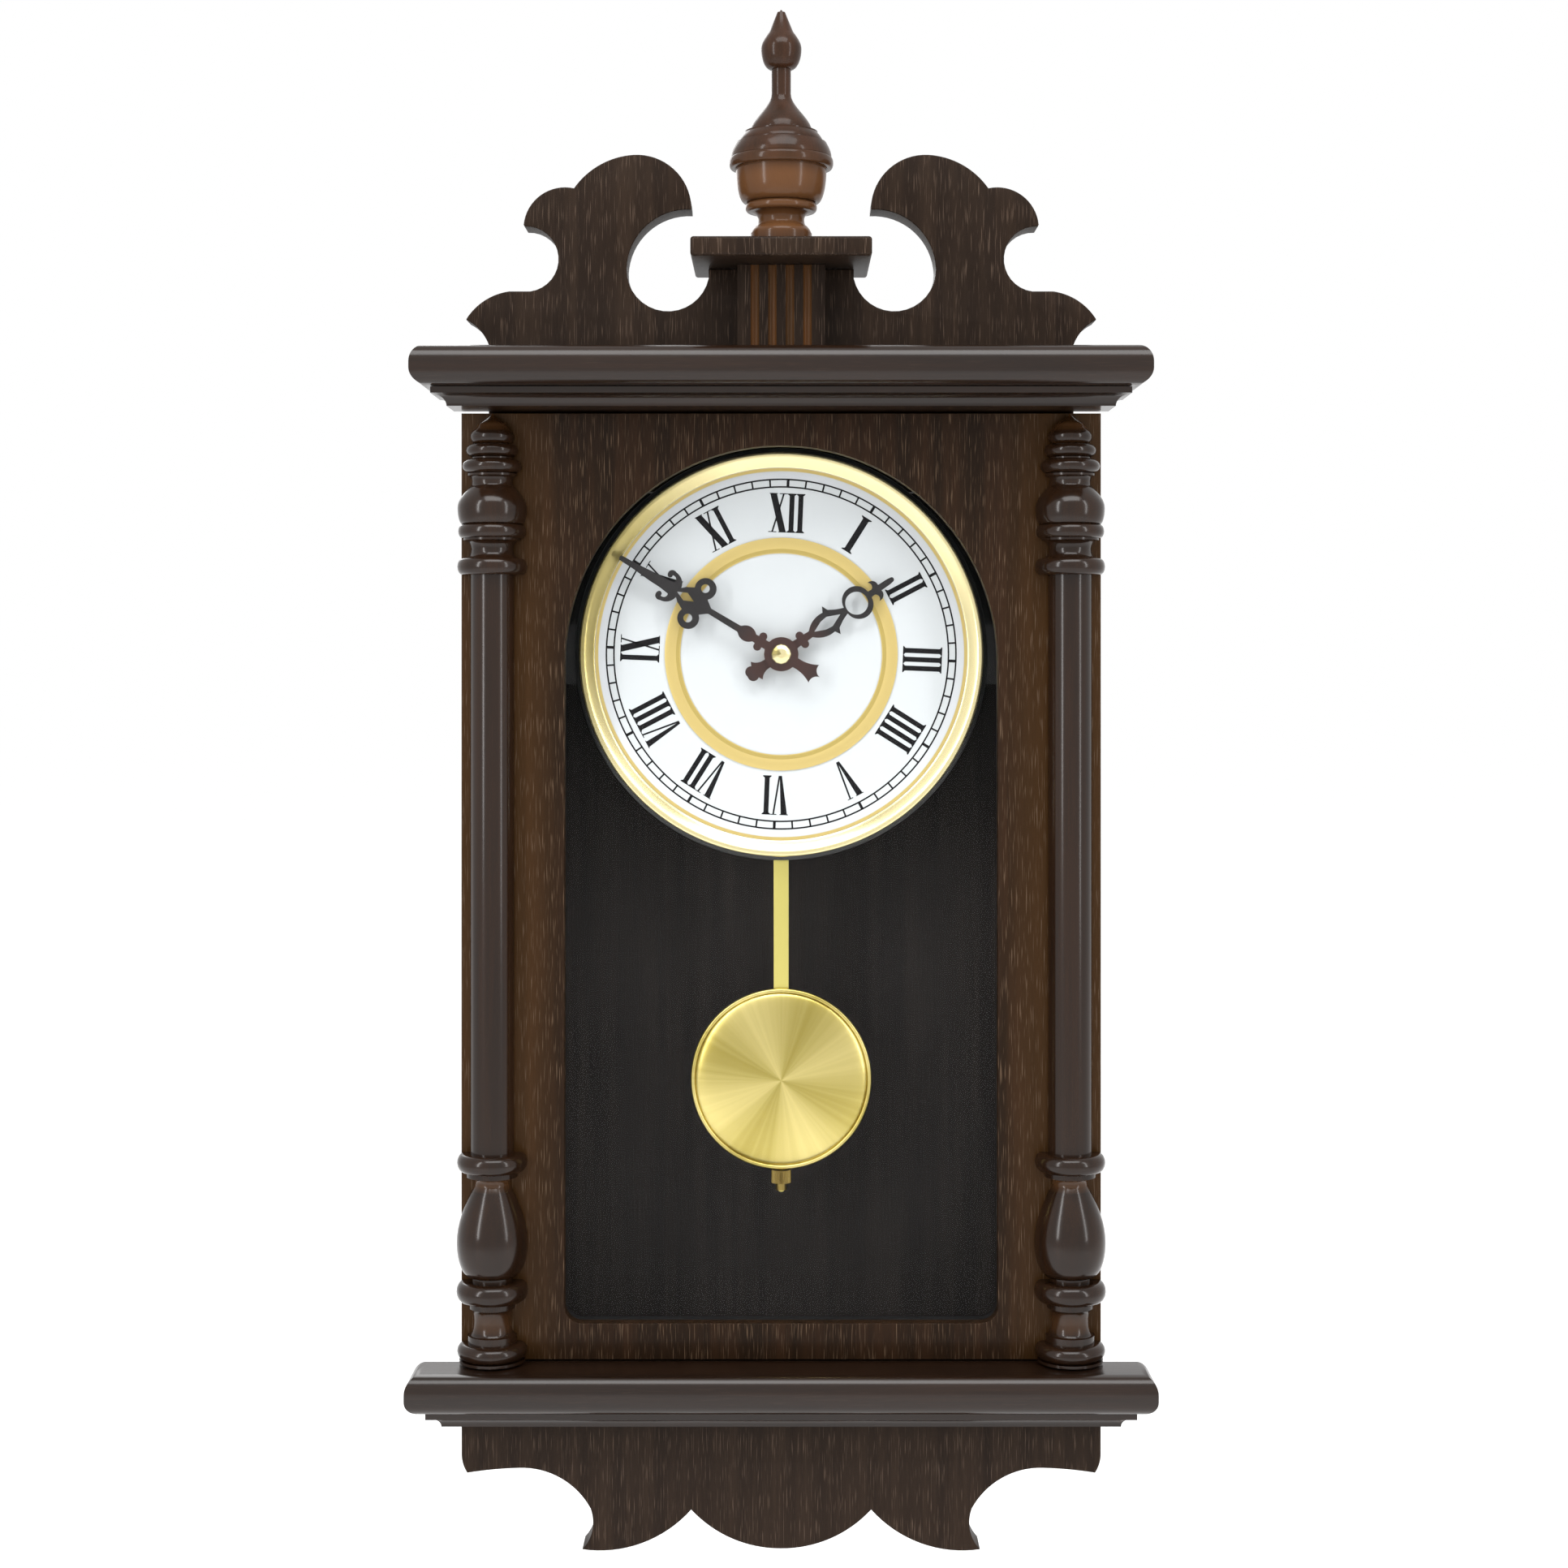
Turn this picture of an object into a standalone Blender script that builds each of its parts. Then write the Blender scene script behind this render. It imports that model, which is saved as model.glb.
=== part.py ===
"""Wall-hung pendulum clock, modelled as separate pieces with the joints' axes as parent empties.

Units are metres, +X is right, +Z is up and the front looks along -Y. The origin is on the wall plane,
in the middle of the back face of the hanging rail.
"""
import math

import bmesh
import bpy
from mathutils import Matrix, Vector

# ---------------------------------------------------------------- clearances
TOUCH = 0.0003            # between two pieces that are fixed against each other
RUN = 0.00015             # radial, between a shaft and the hole it turns in
DOOR_CLEAR = 0.0008       # above and below the door
DOOR_GAP = 0.0020         # behind the door, for the hinge leaves and the catch plate

# ---------------------------------------------------------------- case
OPENING_W = 0.1970        # glazed opening in the door
OPENING_H = 0.3990        # from its sill to the top of its arch
STILE_W = 0.0468
TOP_RAIL = 0.0146
BOTTOM_RAIL = 0.0164
DOOR_T = 0.0160
CASE_DEPTH = 0.0540       # from the wall to the front edges of the case
CASE_T = 0.0120
CASE_INSET = 0.0103       # case side behind the edge of the door
CASE_OVER = 0.0198        # case above the cornice's underside
CASE_UNDER = 0.0174       # case below the base's top
RAIL_H = 0.0400
RAIL_T = 0.0120
RAIL_BELOW_ORIGIN = 0.0120
BACK_T = 0.0040
BACK_RECESS = 0.0020
PLATE_W, PLATE_H, PLATE_T, PLATE_Z = 0.0490, 0.0170, 0.0014, 0.0160     # keyhole hanger plate
POCKET_HALF, POCKET_WALL = 0.0070, 0.0030      # room for the wall screw's head behind the plate
KEY_HEAD_R, KEY_SLOT_R, KEY_SLOT_UP, KEY_DOWN = 0.0042, 0.0021, 0.0055, 0.0025

CASE_CEILING = RAIL_H - RAIL_BELOW_ORIGIN + TOUCH
CASE_TOP = CASE_CEILING + CASE_T
FRONT_TOP = CASE_TOP - CASE_OVER
DOOR_TOP = FRONT_TOP - DOOR_CLEAR
ARCH_TOP = DOOR_TOP - TOP_RAIL
ARCH_Z = ARCH_TOP - OPENING_W / 2
SILL_Z = ARCH_TOP - OPENING_H
DOOR_BOTTOM = SILL_Z - BOTTOM_RAIL
FRONT_BOTTOM = DOOR_BOTTOM - DOOR_CLEAR
CASE_BOTTOM = FRONT_BOTTOM - CASE_UNDER
CASE_FLOOR = CASE_BOTTOM + CASE_T
FRONT_W = OPENING_W + 2 * STILE_W
CASE_HALF = FRONT_W / 2 - CASE_INSET
INNER_HALF = CASE_HALF - CASE_T
CASE_FRONT = -CASE_DEPTH
DOOR_BACK = CASE_FRONT - DOOR_GAP
FRONT_Y = DOOR_BACK - DOOR_T
BOARD_T = DOOR_T + DOOR_GAP - TOUCH
BACK_FRONT = -BACK_RECESS - BACK_T

# ---------------------------------------------------------------- mouldings
MOULD_T = 0.0180          # each rounded board
MOULD_COVE_H = 0.0080     # each cove strip
MOULD_FILLET_H = 0.0028
CORNICE_REACH = 0.0406    # in front of the door
CORNICE_SIDE = 0.0181     # past the door's edge
BASE_REACH = 0.0265
BASE_SIDE = 0.0223
NOSE_TOP = (0.0064, 0.0078)      # inset and height of the rounding at a board's top edge
NOSE_BOTTOM = (0.0079, 0.0072)   # the same at its bottom edge
COVE_INSET = (0.0084, 0.0148)    # cove strip behind the nose, at the board and at its thin edge

# ---------------------------------------------------------------- crest
CAP_W, CAP_D, CAP_T = 0.0800, 0.0670, 0.0086
CAP_REACH = 0.0380        # in front of the door
BLOCK_W, BLOCK_T = 0.0393, 0.0140
FLUTES = 4
FLUTE_R = 0.0019
CREST_H = 0.0650          # pediment's foot to the underside of the cap
PATTERN_W = 0.2906        # door width for which the scroll outlines are drawn

# ---------------------------------------------------------------- dial and hands
ARCH_DROP = 0.0037        # centre of the arch below the dial's centre
BEZEL_MARGIN = 0.0047     # between the bezel and the side of the opening
BEZEL_W = 0.0071
BEZEL_H = 0.0055
BEZEL_SKIRT = 0.0012
PAN_LIP = 0.0021          # pan past the bezel
PAN_T = 0.0012
DIAL_SETBACK = 0.0100     # back of the pan behind the case's front edges
DIAL_T = 0.0010
RING_R, RING_W, RING_T = 0.0541, 0.0071, 0.0004
BATTEN_T, BATTEN_H = 0.0054, 0.0280
BUSH_R, BUSH_FLANGE_R, BUSH_FLANGE_T = 0.0045, 0.0070, 0.0015
NUT_FLAT, NUT_T = 0.0140, 0.0020
HOUR_TUBE_R, ARBOR_R = 0.0026, 0.0015
HAND_T = 0.0006
HOUR_HAND_Z = 0.0050      # height of the hour hand's back above the dial
HAND_STEP = 0.0024        # from the hour hand's front to the minute hand's back
CAP_NUT_R, CAP_NUT_T = 0.0046, 0.0028
HOUR_AT, MINUTE_AT = 56.0, 301.0     # degrees clockwise from twelve

DIAL_Z = ARCH_Z + ARCH_DROP
BEZEL_R = OPENING_W / 2 - BEZEL_MARGIN
BEZEL_IN = BEZEL_R - BEZEL_W
PAN_BACK = CASE_FRONT + DIAL_SETBACK
PAN_FRONT = PAN_BACK - PAN_T
DIAL_BACK = PAN_FRONT - TOUCH
DIAL_FRONT = DIAL_BACK - DIAL_T
HOUR_BACK = DIAL_FRONT - HOUR_HAND_Z
HOUR_FRONT = HOUR_BACK - HAND_T
MINUTE_BACK = HOUR_FRONT - HAND_STEP
MINUTE_FRONT = MINUTE_BACK - HAND_T
MINUTE_LEN = BEZEL_IN + 0.0003
HOUR_LEN = 0.0627

# ---------------------------------------------------------------- movement
HOUSING_W, HOUSING_H = 0.0840, 0.1200
HOUSING_DOWN = 0.0440     # housing's foot below the dial's centre
HOUSING_WALL = 0.0020
HOUSING_AIR = 0.0046      # between the movement's cover and the backboard
COVER_T = 0.0020
CELL_R, CELL_LEN = 0.00725, 0.0505
CELL_PITCH = 0.0158
LID_T = 0.0016
KNOB_R, KNOB_T, KNOB_Z = 0.0065, 0.0026, 0.0150
KNOB_STEM_R, KNOB_STEM = 0.0020, 0.0080
COIL_R = 0.0060
SWITCH_X, SWITCH_Z = -0.0260, 0.0150
SWITCH_TRAVEL = 0.0030
SPEAKER_R, SPEAKER_D, SPEAKER_Z = 0.0200, 0.0120, 0.0500
ACCESS_AIR = 0.0120       # backboard's opening around the movement

HOUSING_FRONT = PAN_BACK + TOUCH + BATTEN_T + TOUCH
COVER_BACK = BACK_FRONT - HOUSING_AIR
COVER_FRONT = COVER_BACK - COVER_T
HOUSING_BACK = COVER_FRONT - TOUCH
HOUSING_FOOT = DIAL_Z - HOUSING_DOWN
HOUSING_HEAD = HOUSING_FOOT + HOUSING_H

# ---------------------------------------------------------------- pendulum
PIVOT_DROP = 0.0360       # pivot below the dial's centre
PIVOT_R = 0.0012
HOOK_W, HOOK_H, HOOK_T = 0.0090, 0.0200, 0.0015
ROD_W, ROD_T = 0.0070, 0.0012
ROD_AIR = 0.0024          # rod behind the dial pan
BOB_ABOVE_SILL = 0.1063
BOB_R, BOB_DOME, BOB_RIM = 0.0422, 0.0050, 0.0012
RATING_R, RATING_H = 0.0046, 0.0060
SCREW_R = 0.0012

PIVOT_Z = DIAL_Z - PIVOT_DROP
BOB_Z = SILL_Z + BOB_ABOVE_SILL
ROD_FRONT = PAN_BACK + ROD_AIR
ROD_MID = ROD_FRONT + ROD_T / 2

# ---------------------------------------------------------------- door furniture
REBATE = 0.0080           # glass rebate around the opening
REBATE_D = 0.0095
GLASS_T = 0.0020
RETAINER_BACK = 0.0005    # retainer behind the edge of the opening
SILL_CORNER = 0.0080
KNUCKLE_R, PIN_R = 0.0028, 0.0012
KNUCKLE_SIDE, KNUCKLE_REAR = 0.0005, 0.0004     # knuckle to the case's side and to the door's back
LEAF_T, LEAF_H, LEAF_W = 0.0012, 0.0400, 0.0128
HINGE_IN = 0.0600         # hinge's centre from the door's top or bottom
CATCH_W, CATCH_H, CATCH_D = 0.0100, 0.0360, 0.0140

HINGE_X = CASE_HALF + KNUCKLE_R + KNUCKLE_SIDE
HINGE_Y = DOOR_BACK + KNUCKLE_R + KNUCKLE_REAR

# ---------------------------------------------------------------- columns
COLUMN_IN = 0.0143        # axis inside the door's edge
COLUMN_PROUD = 0.0020     # axis in front of the door's face
SHAFT_R = 0.0099

ROUND = 24                # sides of a small turned piece
TURNED_STEPS = 16         # sides of the columns and the finial
CURVE_STEPS = 4           # points down each bead and cove
NOSE_STEPS = 5            # sides of each quarter round on the mouldings
ARCH_STEPS = 24           # sides of the door's arch
RING_STEPS = 48           # sides of the dial's rings and the bob
OVERRUN = 0.0100          # how far a cutter runs past what it cuts


# ================================================================ tools
def material(name, colour, roughness, metallic=0.0):
    """A Principled BSDF with one colour, roughness and metallic value."""
    made = bpy.data.materials.new(name)
    made.use_nodes = True
    shader = made.node_tree.nodes["Principled BSDF"]
    shader.inputs["Base Color"].default_value = (*colour, 1.0)
    shader.inputs["Roughness"].default_value = roughness
    shader.inputs["Metallic"].default_value = metallic
    made.diffuse_color = (*colour, 1.0)
    return made


def add(name, mesh, finish=None, at=(0, 0, 0), axis=None, cutter=False):
    """Link a mesh as an object at a world place, parented to a joint's empty if it has one."""
    piece = bpy.data.objects.new(name, mesh)
    (cutters if cutter else clock).objects.link(piece)
    place = Vector(at)
    if axis is not None:
        piece.parent = axis
        place -= axis_at[axis.name]
    piece.location = place
    if finish is not None:
        mesh.materials.append(finish)
    if cutter:
        piece.hide_render = True
        piece.display_type = "WIRE"
    return piece


def joint_axis(name, at, parent=None):
    """An empty on a joint's axis, riding on the joint before it."""
    empty = bpy.data.objects.new(name, None)
    clock.objects.link(empty)
    axis_at[name] = Vector(at)
    empty.parent = parent
    empty.location = Vector(at) - (axis_at[parent.name] if parent else Vector())
    return empty


def box_mesh(name, size):
    """A cuboid centred on its own origin."""
    mesh = bpy.data.meshes.new(name)
    form = bmesh.new()
    bmesh.ops.create_cube(form, size=1.0, matrix=Matrix.Diagonal((*size, 1.0)))
    form.to_mesh(mesh)
    form.free()
    return mesh


def box(name, low, high, finish=None, axis=None, cutter=False):
    """A box between two corners."""
    low, high = Vector(low), Vector(high)
    return add(name, box_mesh(name, high - low), finish, (low + high) / 2, axis, cutter)


def round_mesh(name, radius, length, sides=ROUND, along="Y"):
    """A closed cylinder centred on its own origin."""
    mesh = bpy.data.meshes.new(name)
    form = bmesh.new()
    bmesh.ops.create_cone(form, cap_ends=True, segments=sides, radius1=radius, radius2=radius, depth=length)
    turn = {"X": ("Y", 90), "Y": ("X", 90), "Z": ("Z", 0)}[along]
    form.transform(Matrix.Rotation(math.radians(turn[1]), 4, turn[0]))
    form.to_mesh(mesh)
    form.free()
    smooth(mesh)
    return mesh


def smooth(mesh, angle=35):
    """Shade round faces smooth and keep the edges sharper than the angle."""
    mesh.shade_smooth()
    mesh.set_sharp_from_angle(angle=math.radians(angle))


def cylinder_y(name, radius, front, back, x, z, finish=None, axis=None, cutter=False, sides=ROUND):
    """A cylinder along Y between two depths."""
    mesh = round_mesh(name, radius, back - front, sides)
    return add(name, mesh, finish, (x, (front + back) / 2, z), axis, cutter)


def cylinder_z(name, radius, low, high, x, y, finish=None, axis=None, cutter=False, sides=ROUND):
    """A cylinder along Z between two heights."""
    mesh = round_mesh(name, radius, high - low, sides, "Z")
    return add(name, mesh, finish, (x, y, (low + high) / 2), axis, cutter)


def arc(start, middle, end, steps):
    """Points of the circular arc through three points, without its first point."""
    a, b, c = Vector(start), Vector(middle), Vector(end)
    ab, ac = b - a, c - a
    cross = 2 * (ab.x * ac.y - ab.y * ac.x)
    centre = a + Vector((ac.y * ab.length_squared - ab.y * ac.length_squared,
                         ab.x * ac.length_squared - ac.x * ab.length_squared)) / cross
    first = math.atan2(a.y - centre.y, a.x - centre.x)
    last = math.atan2(c.y - centre.y, c.x - centre.x)
    sweep = (last - first) % math.tau
    if cross < 0:
        sweep -= math.tau
    radius = (a - centre).length
    return [(centre.x + radius * math.cos(first + sweep * i / steps),
             centre.y + radius * math.sin(first + sweep * i / steps)) for i in range(1, steps + 1)]


def trace(start, moves, steps=6):
    """An outline from a start point and moves: a point is a straight line, two points are an arc."""
    points = [start]
    for move in moves:
        if isinstance(move[0], tuple):
            points += arc(points[-1], move[0], move[1], steps)
        else:
            points.append(move)
    return points


def mirrored(half):
    """Close an outline that starts and ends on the middle line, or across it, with its mirror image."""
    other = [(-x, z) for x, z in reversed(half) if abs(x) > 1e-6]
    return half + other


def circle(radius, steps=ROUND, x=0.0, z=0.0):
    """Points round a circle."""
    return [(x + radius * math.cos(math.tau * i / steps), z + radius * math.sin(math.tau * i / steps))
            for i in range(steps)]


def cut_sheet(name, outlines, front, back, finish=None, at=(0.0, 0.0), axis=None, cutter=False, turn=0.0):
    """A flat piece from outlines in X and Z, between two depths. Outlines inside the first are holes."""
    curve = bpy.data.curves.new(name, "CURVE")
    curve.dimensions = "2D"
    curve.fill_mode = "BOTH"
    curve.extrude = (back - front) / 2
    for outline in outlines:
        spline = curve.splines.new("POLY")
        spline.points.add(len(outline) - 1)
        for point, (x, z) in zip(spline.points, outline):
            point.co = (x, z, 0, 1)
        spline.use_cyclic_u = True
    drawn = bpy.data.objects.new(name + "_outline", curve)
    clock.objects.link(drawn)
    drawn.rotation_euler = (math.radians(90), 0, 0)
    bpy.context.view_layer.update()
    shape = drawn.evaluated_get(bpy.context.evaluated_depsgraph_get())
    mesh = bpy.data.meshes.new_from_object(shape)
    upright = Matrix.Rotation(math.radians(turn), 4, "Y") @ drawn.matrix_world
    bpy.data.objects.remove(drawn)
    mesh.name = name
    form = bmesh.new()
    form.from_mesh(mesh)
    form.transform(upright)
    bmesh.ops.remove_doubles(form, verts=form.verts, dist=0.00001)
    form.to_mesh(mesh)
    form.free()
    mesh.materials.clear()
    return add(name, mesh, finish, (at[0], (front + back) / 2, at[1]), axis, cutter)


def turned(name, profile, finish, at, steps=ROUND, along="Z", axis=None):
    """A solid of revolution. The profile's radii and heights run from the top down the outer side."""
    mesh = bpy.data.meshes.new(name)
    points = [(radius, 0.0, height) for radius, height in profile]
    mesh.from_pydata(points, [(i, i + 1) for i in range(len(points) - 1)], [])
    piece = add(name, mesh, finish, at, axis)
    spin = piece.modifiers.new("Turn", "SCREW")
    spin.axis = "Z"
    spin.steps = spin.render_steps = steps
    spin.use_merge_vertices = True
    spin.merge_threshold = 0.00001
    spin.use_smooth_shade = True
    if along == "Y":
        piece.rotation_euler = (math.radians(90), 0, 0)
    return piece


def combine(piece, tool, how="DIFFERENCE"):
    """Cut, join or intersect a piece with a tool object."""
    change = piece.modifiers.new(how.title(), "BOOLEAN")
    change.operation = how
    change.object = tool
    change.solver = "EXACT"
    return piece


# ================================================================ turned sections
def section(kind, height, *radii):
    """Radii down one turned member, as pairs of radius and share of its height."""
    steps = 1 if kind == "plain" else CURVE_STEPS
    points = []
    for i in range(steps + 1):
        t = i / steps
        half_turn = math.pi * t
        if kind == "plain":
            point = (radii[0] + (radii[-1] - radii[0]) * t, t)
        elif kind == "bead":
            point = (radii[0] + (radii[1] - radii[0]) * math.sin(half_turn), (1 - math.cos(half_turn)) / 2)
        elif kind == "cove":
            edge = radii[0] if t < 0.5 else radii[2]
            point = (edge - (edge - radii[1]) * math.sin(half_turn), (1 - math.cos(half_turn)) / 2)
        elif kind == "swell":
            point = (radii[0] + (radii[1] - radii[0]) * math.sin(half_turn / 2), t)
        elif kind == "close":
            point = (radii[1] + (radii[0] - radii[1]) * math.cos(half_turn / 2), math.sin(half_turn / 2))
        else:
            point = (radii[0] + (radii[1] - radii[0]) * (3 * t ** 2 - 2 * t ** 3), t)
        points.append((point[0], height * point[1]))
    return points


def turning(top, members):
    """A turned profile from its top height and its members, closed on the axis at both ends."""
    profile = [(0.0, top)]
    height = top
    for kind, length, *radii in members:
        for radius, down in section(kind, length, *radii):
            point = (radius, height - down)
            if math.dist(point, profile[-1]) > 0.00005:
                profile.append(point)
        height -= length
    profile.append((0.0, height))
    return profile


# ================================================================ case
def build_case():
    """Two sides, top, bottom, hanging rail and backboard."""
    for name, side in (("case_side_left", -1), ("case_side_right", 1)):
        near, far = sorted((side * INNER_HALF, side * CASE_HALF))
        box(name, (near, CASE_FRONT, CASE_BOTTOM), (far, 0, CASE_TOP), case_wood)
    inner = INNER_HALF - TOUCH
    box("case_top", (-inner, CASE_FRONT, CASE_CEILING), (inner, 0, CASE_TOP), case_wood)
    box("case_bottom", (-inner, CASE_FRONT, CASE_BOTTOM), (inner, 0, CASE_FLOOR), case_wood)

    rail = box("hanging_rail", (-inner, -RAIL_T, -RAIL_BELOW_ORIGIN), (inner, 0, CASE_CEILING - TOUCH),
               case_wood)
    plate_w, plate_h, plate_t, plate_z = PLATE_W, PLATE_H, PLATE_T, PLATE_Z
    recess = box("hanger_recess", (-plate_w / 2 - TOUCH, -plate_t - 2 * TOUCH, plate_z - plate_h / 2 - TOUCH),
                 (plate_w / 2 + TOUCH, TOUCH, plate_z + plate_h / 2 + TOUCH), cutter=True)
    pocket = box("nail_pocket", (-POCKET_HALF, -RAIL_T + POCKET_WALL, plate_z - POCKET_HALF),
                 (POCKET_HALF, -plate_t, plate_z + POCKET_HALF), cutter=True)
    combine(combine(rail, recess), pocket)
    head_r, slot_r, slot_up = KEY_HEAD_R, KEY_SLOT_R, KEY_SLOT_UP
    start, end = math.acos(slot_r / head_r), math.pi - math.acos(slot_r / head_r)
    keyhole = [(head_r * math.cos(start - i * (math.tau - end + start) / 16),
                head_r * math.sin(start - i * (math.tau - end + start) / 16)) for i in range(17)]
    keyhole += [(-slot_r, slot_up)] + arc((-slot_r, slot_up), (0, slot_up + slot_r), (slot_r, slot_up), 6)
    keyhole = [(x, z - KEY_DOWN) for x, z in keyhole]
    border = [(sx * plate_w / 2, sz * plate_h / 2) for sx, sz in ((-1, -1), (1, -1), (1, 1), (-1, 1))]
    cut_sheet("hanger_plate", [border, keyhole], -plate_t - TOUCH, -TOUCH / 2, steel, (0, plate_z))

    back = box("backboard", (-inner, BACK_FRONT, CASE_FLOOR + TOUCH),
               (inner, -BACK_RECESS, -RAIL_BELOW_ORIGIN - TOUCH), panel_wood)
    access = box("access_opening",
                 (-HOUSING_W / 2 - ACCESS_AIR, BACK_FRONT - TOUCH, HOUSING_FOOT - ACCESS_AIR / 2),
                 (HOUSING_W / 2 + ACCESS_AIR, 0, HOUSING_HEAD + ACCESS_AIR / 2), cutter=True)
    combine(back, access)


# ================================================================ mouldings
def nose(reach, top, thickness):
    """Outline of a board with a rounded edge at its reach, from its back, as pairs of reach and height."""
    across, up = NOSE_TOP
    under, down = NOSE_BOTTOM
    turns = [math.pi / 2 * i / NOSE_STEPS for i in range(NOSE_STEPS + 1)]
    points = [(reach - across * (1 - math.sin(turn)), top - up * (1 - math.cos(turn))) for turn in turns]
    points += [(reach - under * (1 - math.cos(turn)), top - thickness + down * (1 - math.sin(turn)))
               for turn in turns]
    return points


def cove(reach, wide, thin):
    """Outline of a cove strip from its fillet at the board to its thin edge."""
    wide_in, thin_in = COVE_INSET
    way = 1 if thin > wide else -1
    fillet = wide + way * MOULD_FILLET_H
    points = [(reach - wide_in, wide), (reach - wide_in, fillet)]
    for i in range(1, NOSE_STEPS + 1):
        turn = math.pi / 2 * i / NOSE_STEPS
        points.append((reach - wide_in - (thin_in - wide_in) * math.sin(turn),
                       fillet + (thin - fillet) * (1 - math.cos(turn))))
    return points


def moulding(name, reach, side, profile):
    """A strip in front of the door's plane whose edge runs round its front and both ends."""
    half = FRONT_W / 2 + side
    outline = [(0.0, profile[0][1])] + profile + [(0.0, profile[-1][1])]
    run = cut_sheet(name, [outline], -half - OVERRUN, half + OVERRUN, case_wood)
    run.data.transform(Matrix.Rotation(math.radians(-90), 4, "Z"))
    run.location = (0, FRONT_Y - TOUCH, 0)
    ends = [(half - reach + x, z) for x, z in profile]
    past = math.copysign(0.005, ends[0][1] - ends[-1][1])
    ends = [(ends[0][0], ends[0][1] + past)] + ends + [(ends[-1][0], ends[-1][1] - past)]
    tool = cut_sheet(name + "_ends", [mirrored(ends)], FRONT_Y - reach - OVERRUN, FRONT_Y + OVERRUN,
                     cutter=True)
    combine(run, tool, "INTERSECT")


def build_mouldings():
    """Cornice over the door and base under it, each a rounded board and a cove strip."""
    board_low = FRONT_TOP + MOULD_COVE_H
    moulding("cornice_board", CORNICE_REACH, CORNICE_SIDE,
             nose(CORNICE_REACH, board_low + MOULD_T, MOULD_T - TOUCH))
    moulding("cornice_cove", CORNICE_REACH, CORNICE_SIDE, cove(CORNICE_REACH, board_low, FRONT_TOP))
    board_low = FRONT_BOTTOM - MOULD_T
    moulding("base_board", BASE_REACH, BASE_SIDE, nose(BASE_REACH, FRONT_BOTTOM, MOULD_T))
    moulding("base_cove", BASE_REACH, BASE_SIDE,
             cove(BASE_REACH, board_low - TOUCH, board_low - MOULD_COVE_H))


# ================================================================ crest and apron
def build_crest():
    """Scrolled board over the cornice, and the cap, fluted block and finial in its middle."""
    stretch = FRONT_W / PATTERN_W
    foot = [(-0.1329, TOUCH), (-0.1329, 0.0303)]
    scroll = trace(foot[-1], [
        ((-0.1366, 0.0366), (-0.1431, 0.0417)),
        (-0.1431, 0.0422),
        ((-0.1355, 0.0501), (-0.1237, 0.0547)),
        (-0.1141, 0.0547),
        ((-0.1013, 0.0683), (-0.1167, 0.0842)),
        (-0.1171, 0.0850),
        ((-0.1102, 0.0978), (-0.0942, 0.1016)),
        ((-0.0825, 0.1122), (-0.0669, 0.1168)),
        ((-0.0485, 0.1100), (-0.0408, 0.0933)),
        (-0.0408, 0.0918),
        ((-0.0595, 0.0860), (-0.0703, 0.0650)),
        ((-0.0550, 0.0460), (-0.0330, 0.0606)),
    ])
    half = [foot[0]] + scroll + [(-0.0330, CREST_H - TOUCH)]
    outline = [(x * stretch, FRONT_TOP + z) for x, z in mirrored(half)]
    cut_sheet("pediment_board", [outline], FRONT_Y, FRONT_Y + BOARD_T, front_wood)

    cornice_top = FRONT_TOP + MOULD_COVE_H + MOULD_T
    cap_low = FRONT_TOP + CREST_H
    block = box("fluted_block", (-BLOCK_W / 2, FRONT_Y - TOUCH - BLOCK_T, cornice_top + TOUCH),
                (BLOCK_W / 2, FRONT_Y - TOUCH, cap_low - TOUCH), front_wood)
    pitch = BLOCK_W / (FLUTES + 1)
    for i in range(FLUTES):
        flute = cylinder_z(f"flute_{i}", FLUTE_R, cornice_top, cap_low, (i - (FLUTES - 1) / 2) * pitch,
                           FRONT_Y - TOUCH - BLOCK_T, cutter=True, sides=12)
        combine(block, flute)
    cap_y = FRONT_Y - CAP_REACH
    cap = box("finial_cap", (-CAP_W / 2, cap_y, cap_low), (CAP_W / 2, cap_y + CAP_D, cap_low + CAP_T),
              case_wood)
    edge = cap.modifiers.new("Soft edges", "BEVEL")
    edge.width, edge.segments = 0.0015, 2
    height = sum(member[1] for member in FINIAL)
    turned("finial", turning(height, FINIAL), finial_wood, (0, cap_y + CAP_D / 2, cap_low + CAP_T + TOUCH),
           TURNED_STEPS)


FINIAL = (
    ("close", 0.0010, 0.0004, 0.0018), ("ogee", 0.0110, 0.0018, 0.0055),
    ("swell", 0.0074, 0.0055, 0.0092), ("close", 0.0075, 0.0092, 0.0044), ("plain", 0.0010, 0.0044, 0.0044),
    ("ogee", 0.0140, 0.0044, 0.0080), ("ogee", 0.0133, 0.0080, 0.0140), ("plain", 0.0006, 0.0165, 0.0165),
    ("swell", 0.0045, 0.0165, 0.0190), ("swell", 0.0066, 0.0205, 0.0228),
    ("bead", 0.0050, 0.0225, 0.0236, 0.0215), ("plain", 0.0005, 0.0209, 0.0209),
    ("ogee", 0.0132, 0.0209, 0.0174), ("close", 0.0024, 0.0174, 0.0130),
    ("bead", 0.0034, 0.0125, 0.0147, 0.0125), ("cove", 0.0075, 0.0122, 0.0108, 0.0130),
    ("bead", 0.0036, 0.0135, 0.0149, 0.0140), ("plain", 0.0048, 0.0150, 0.0150),
)


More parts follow.
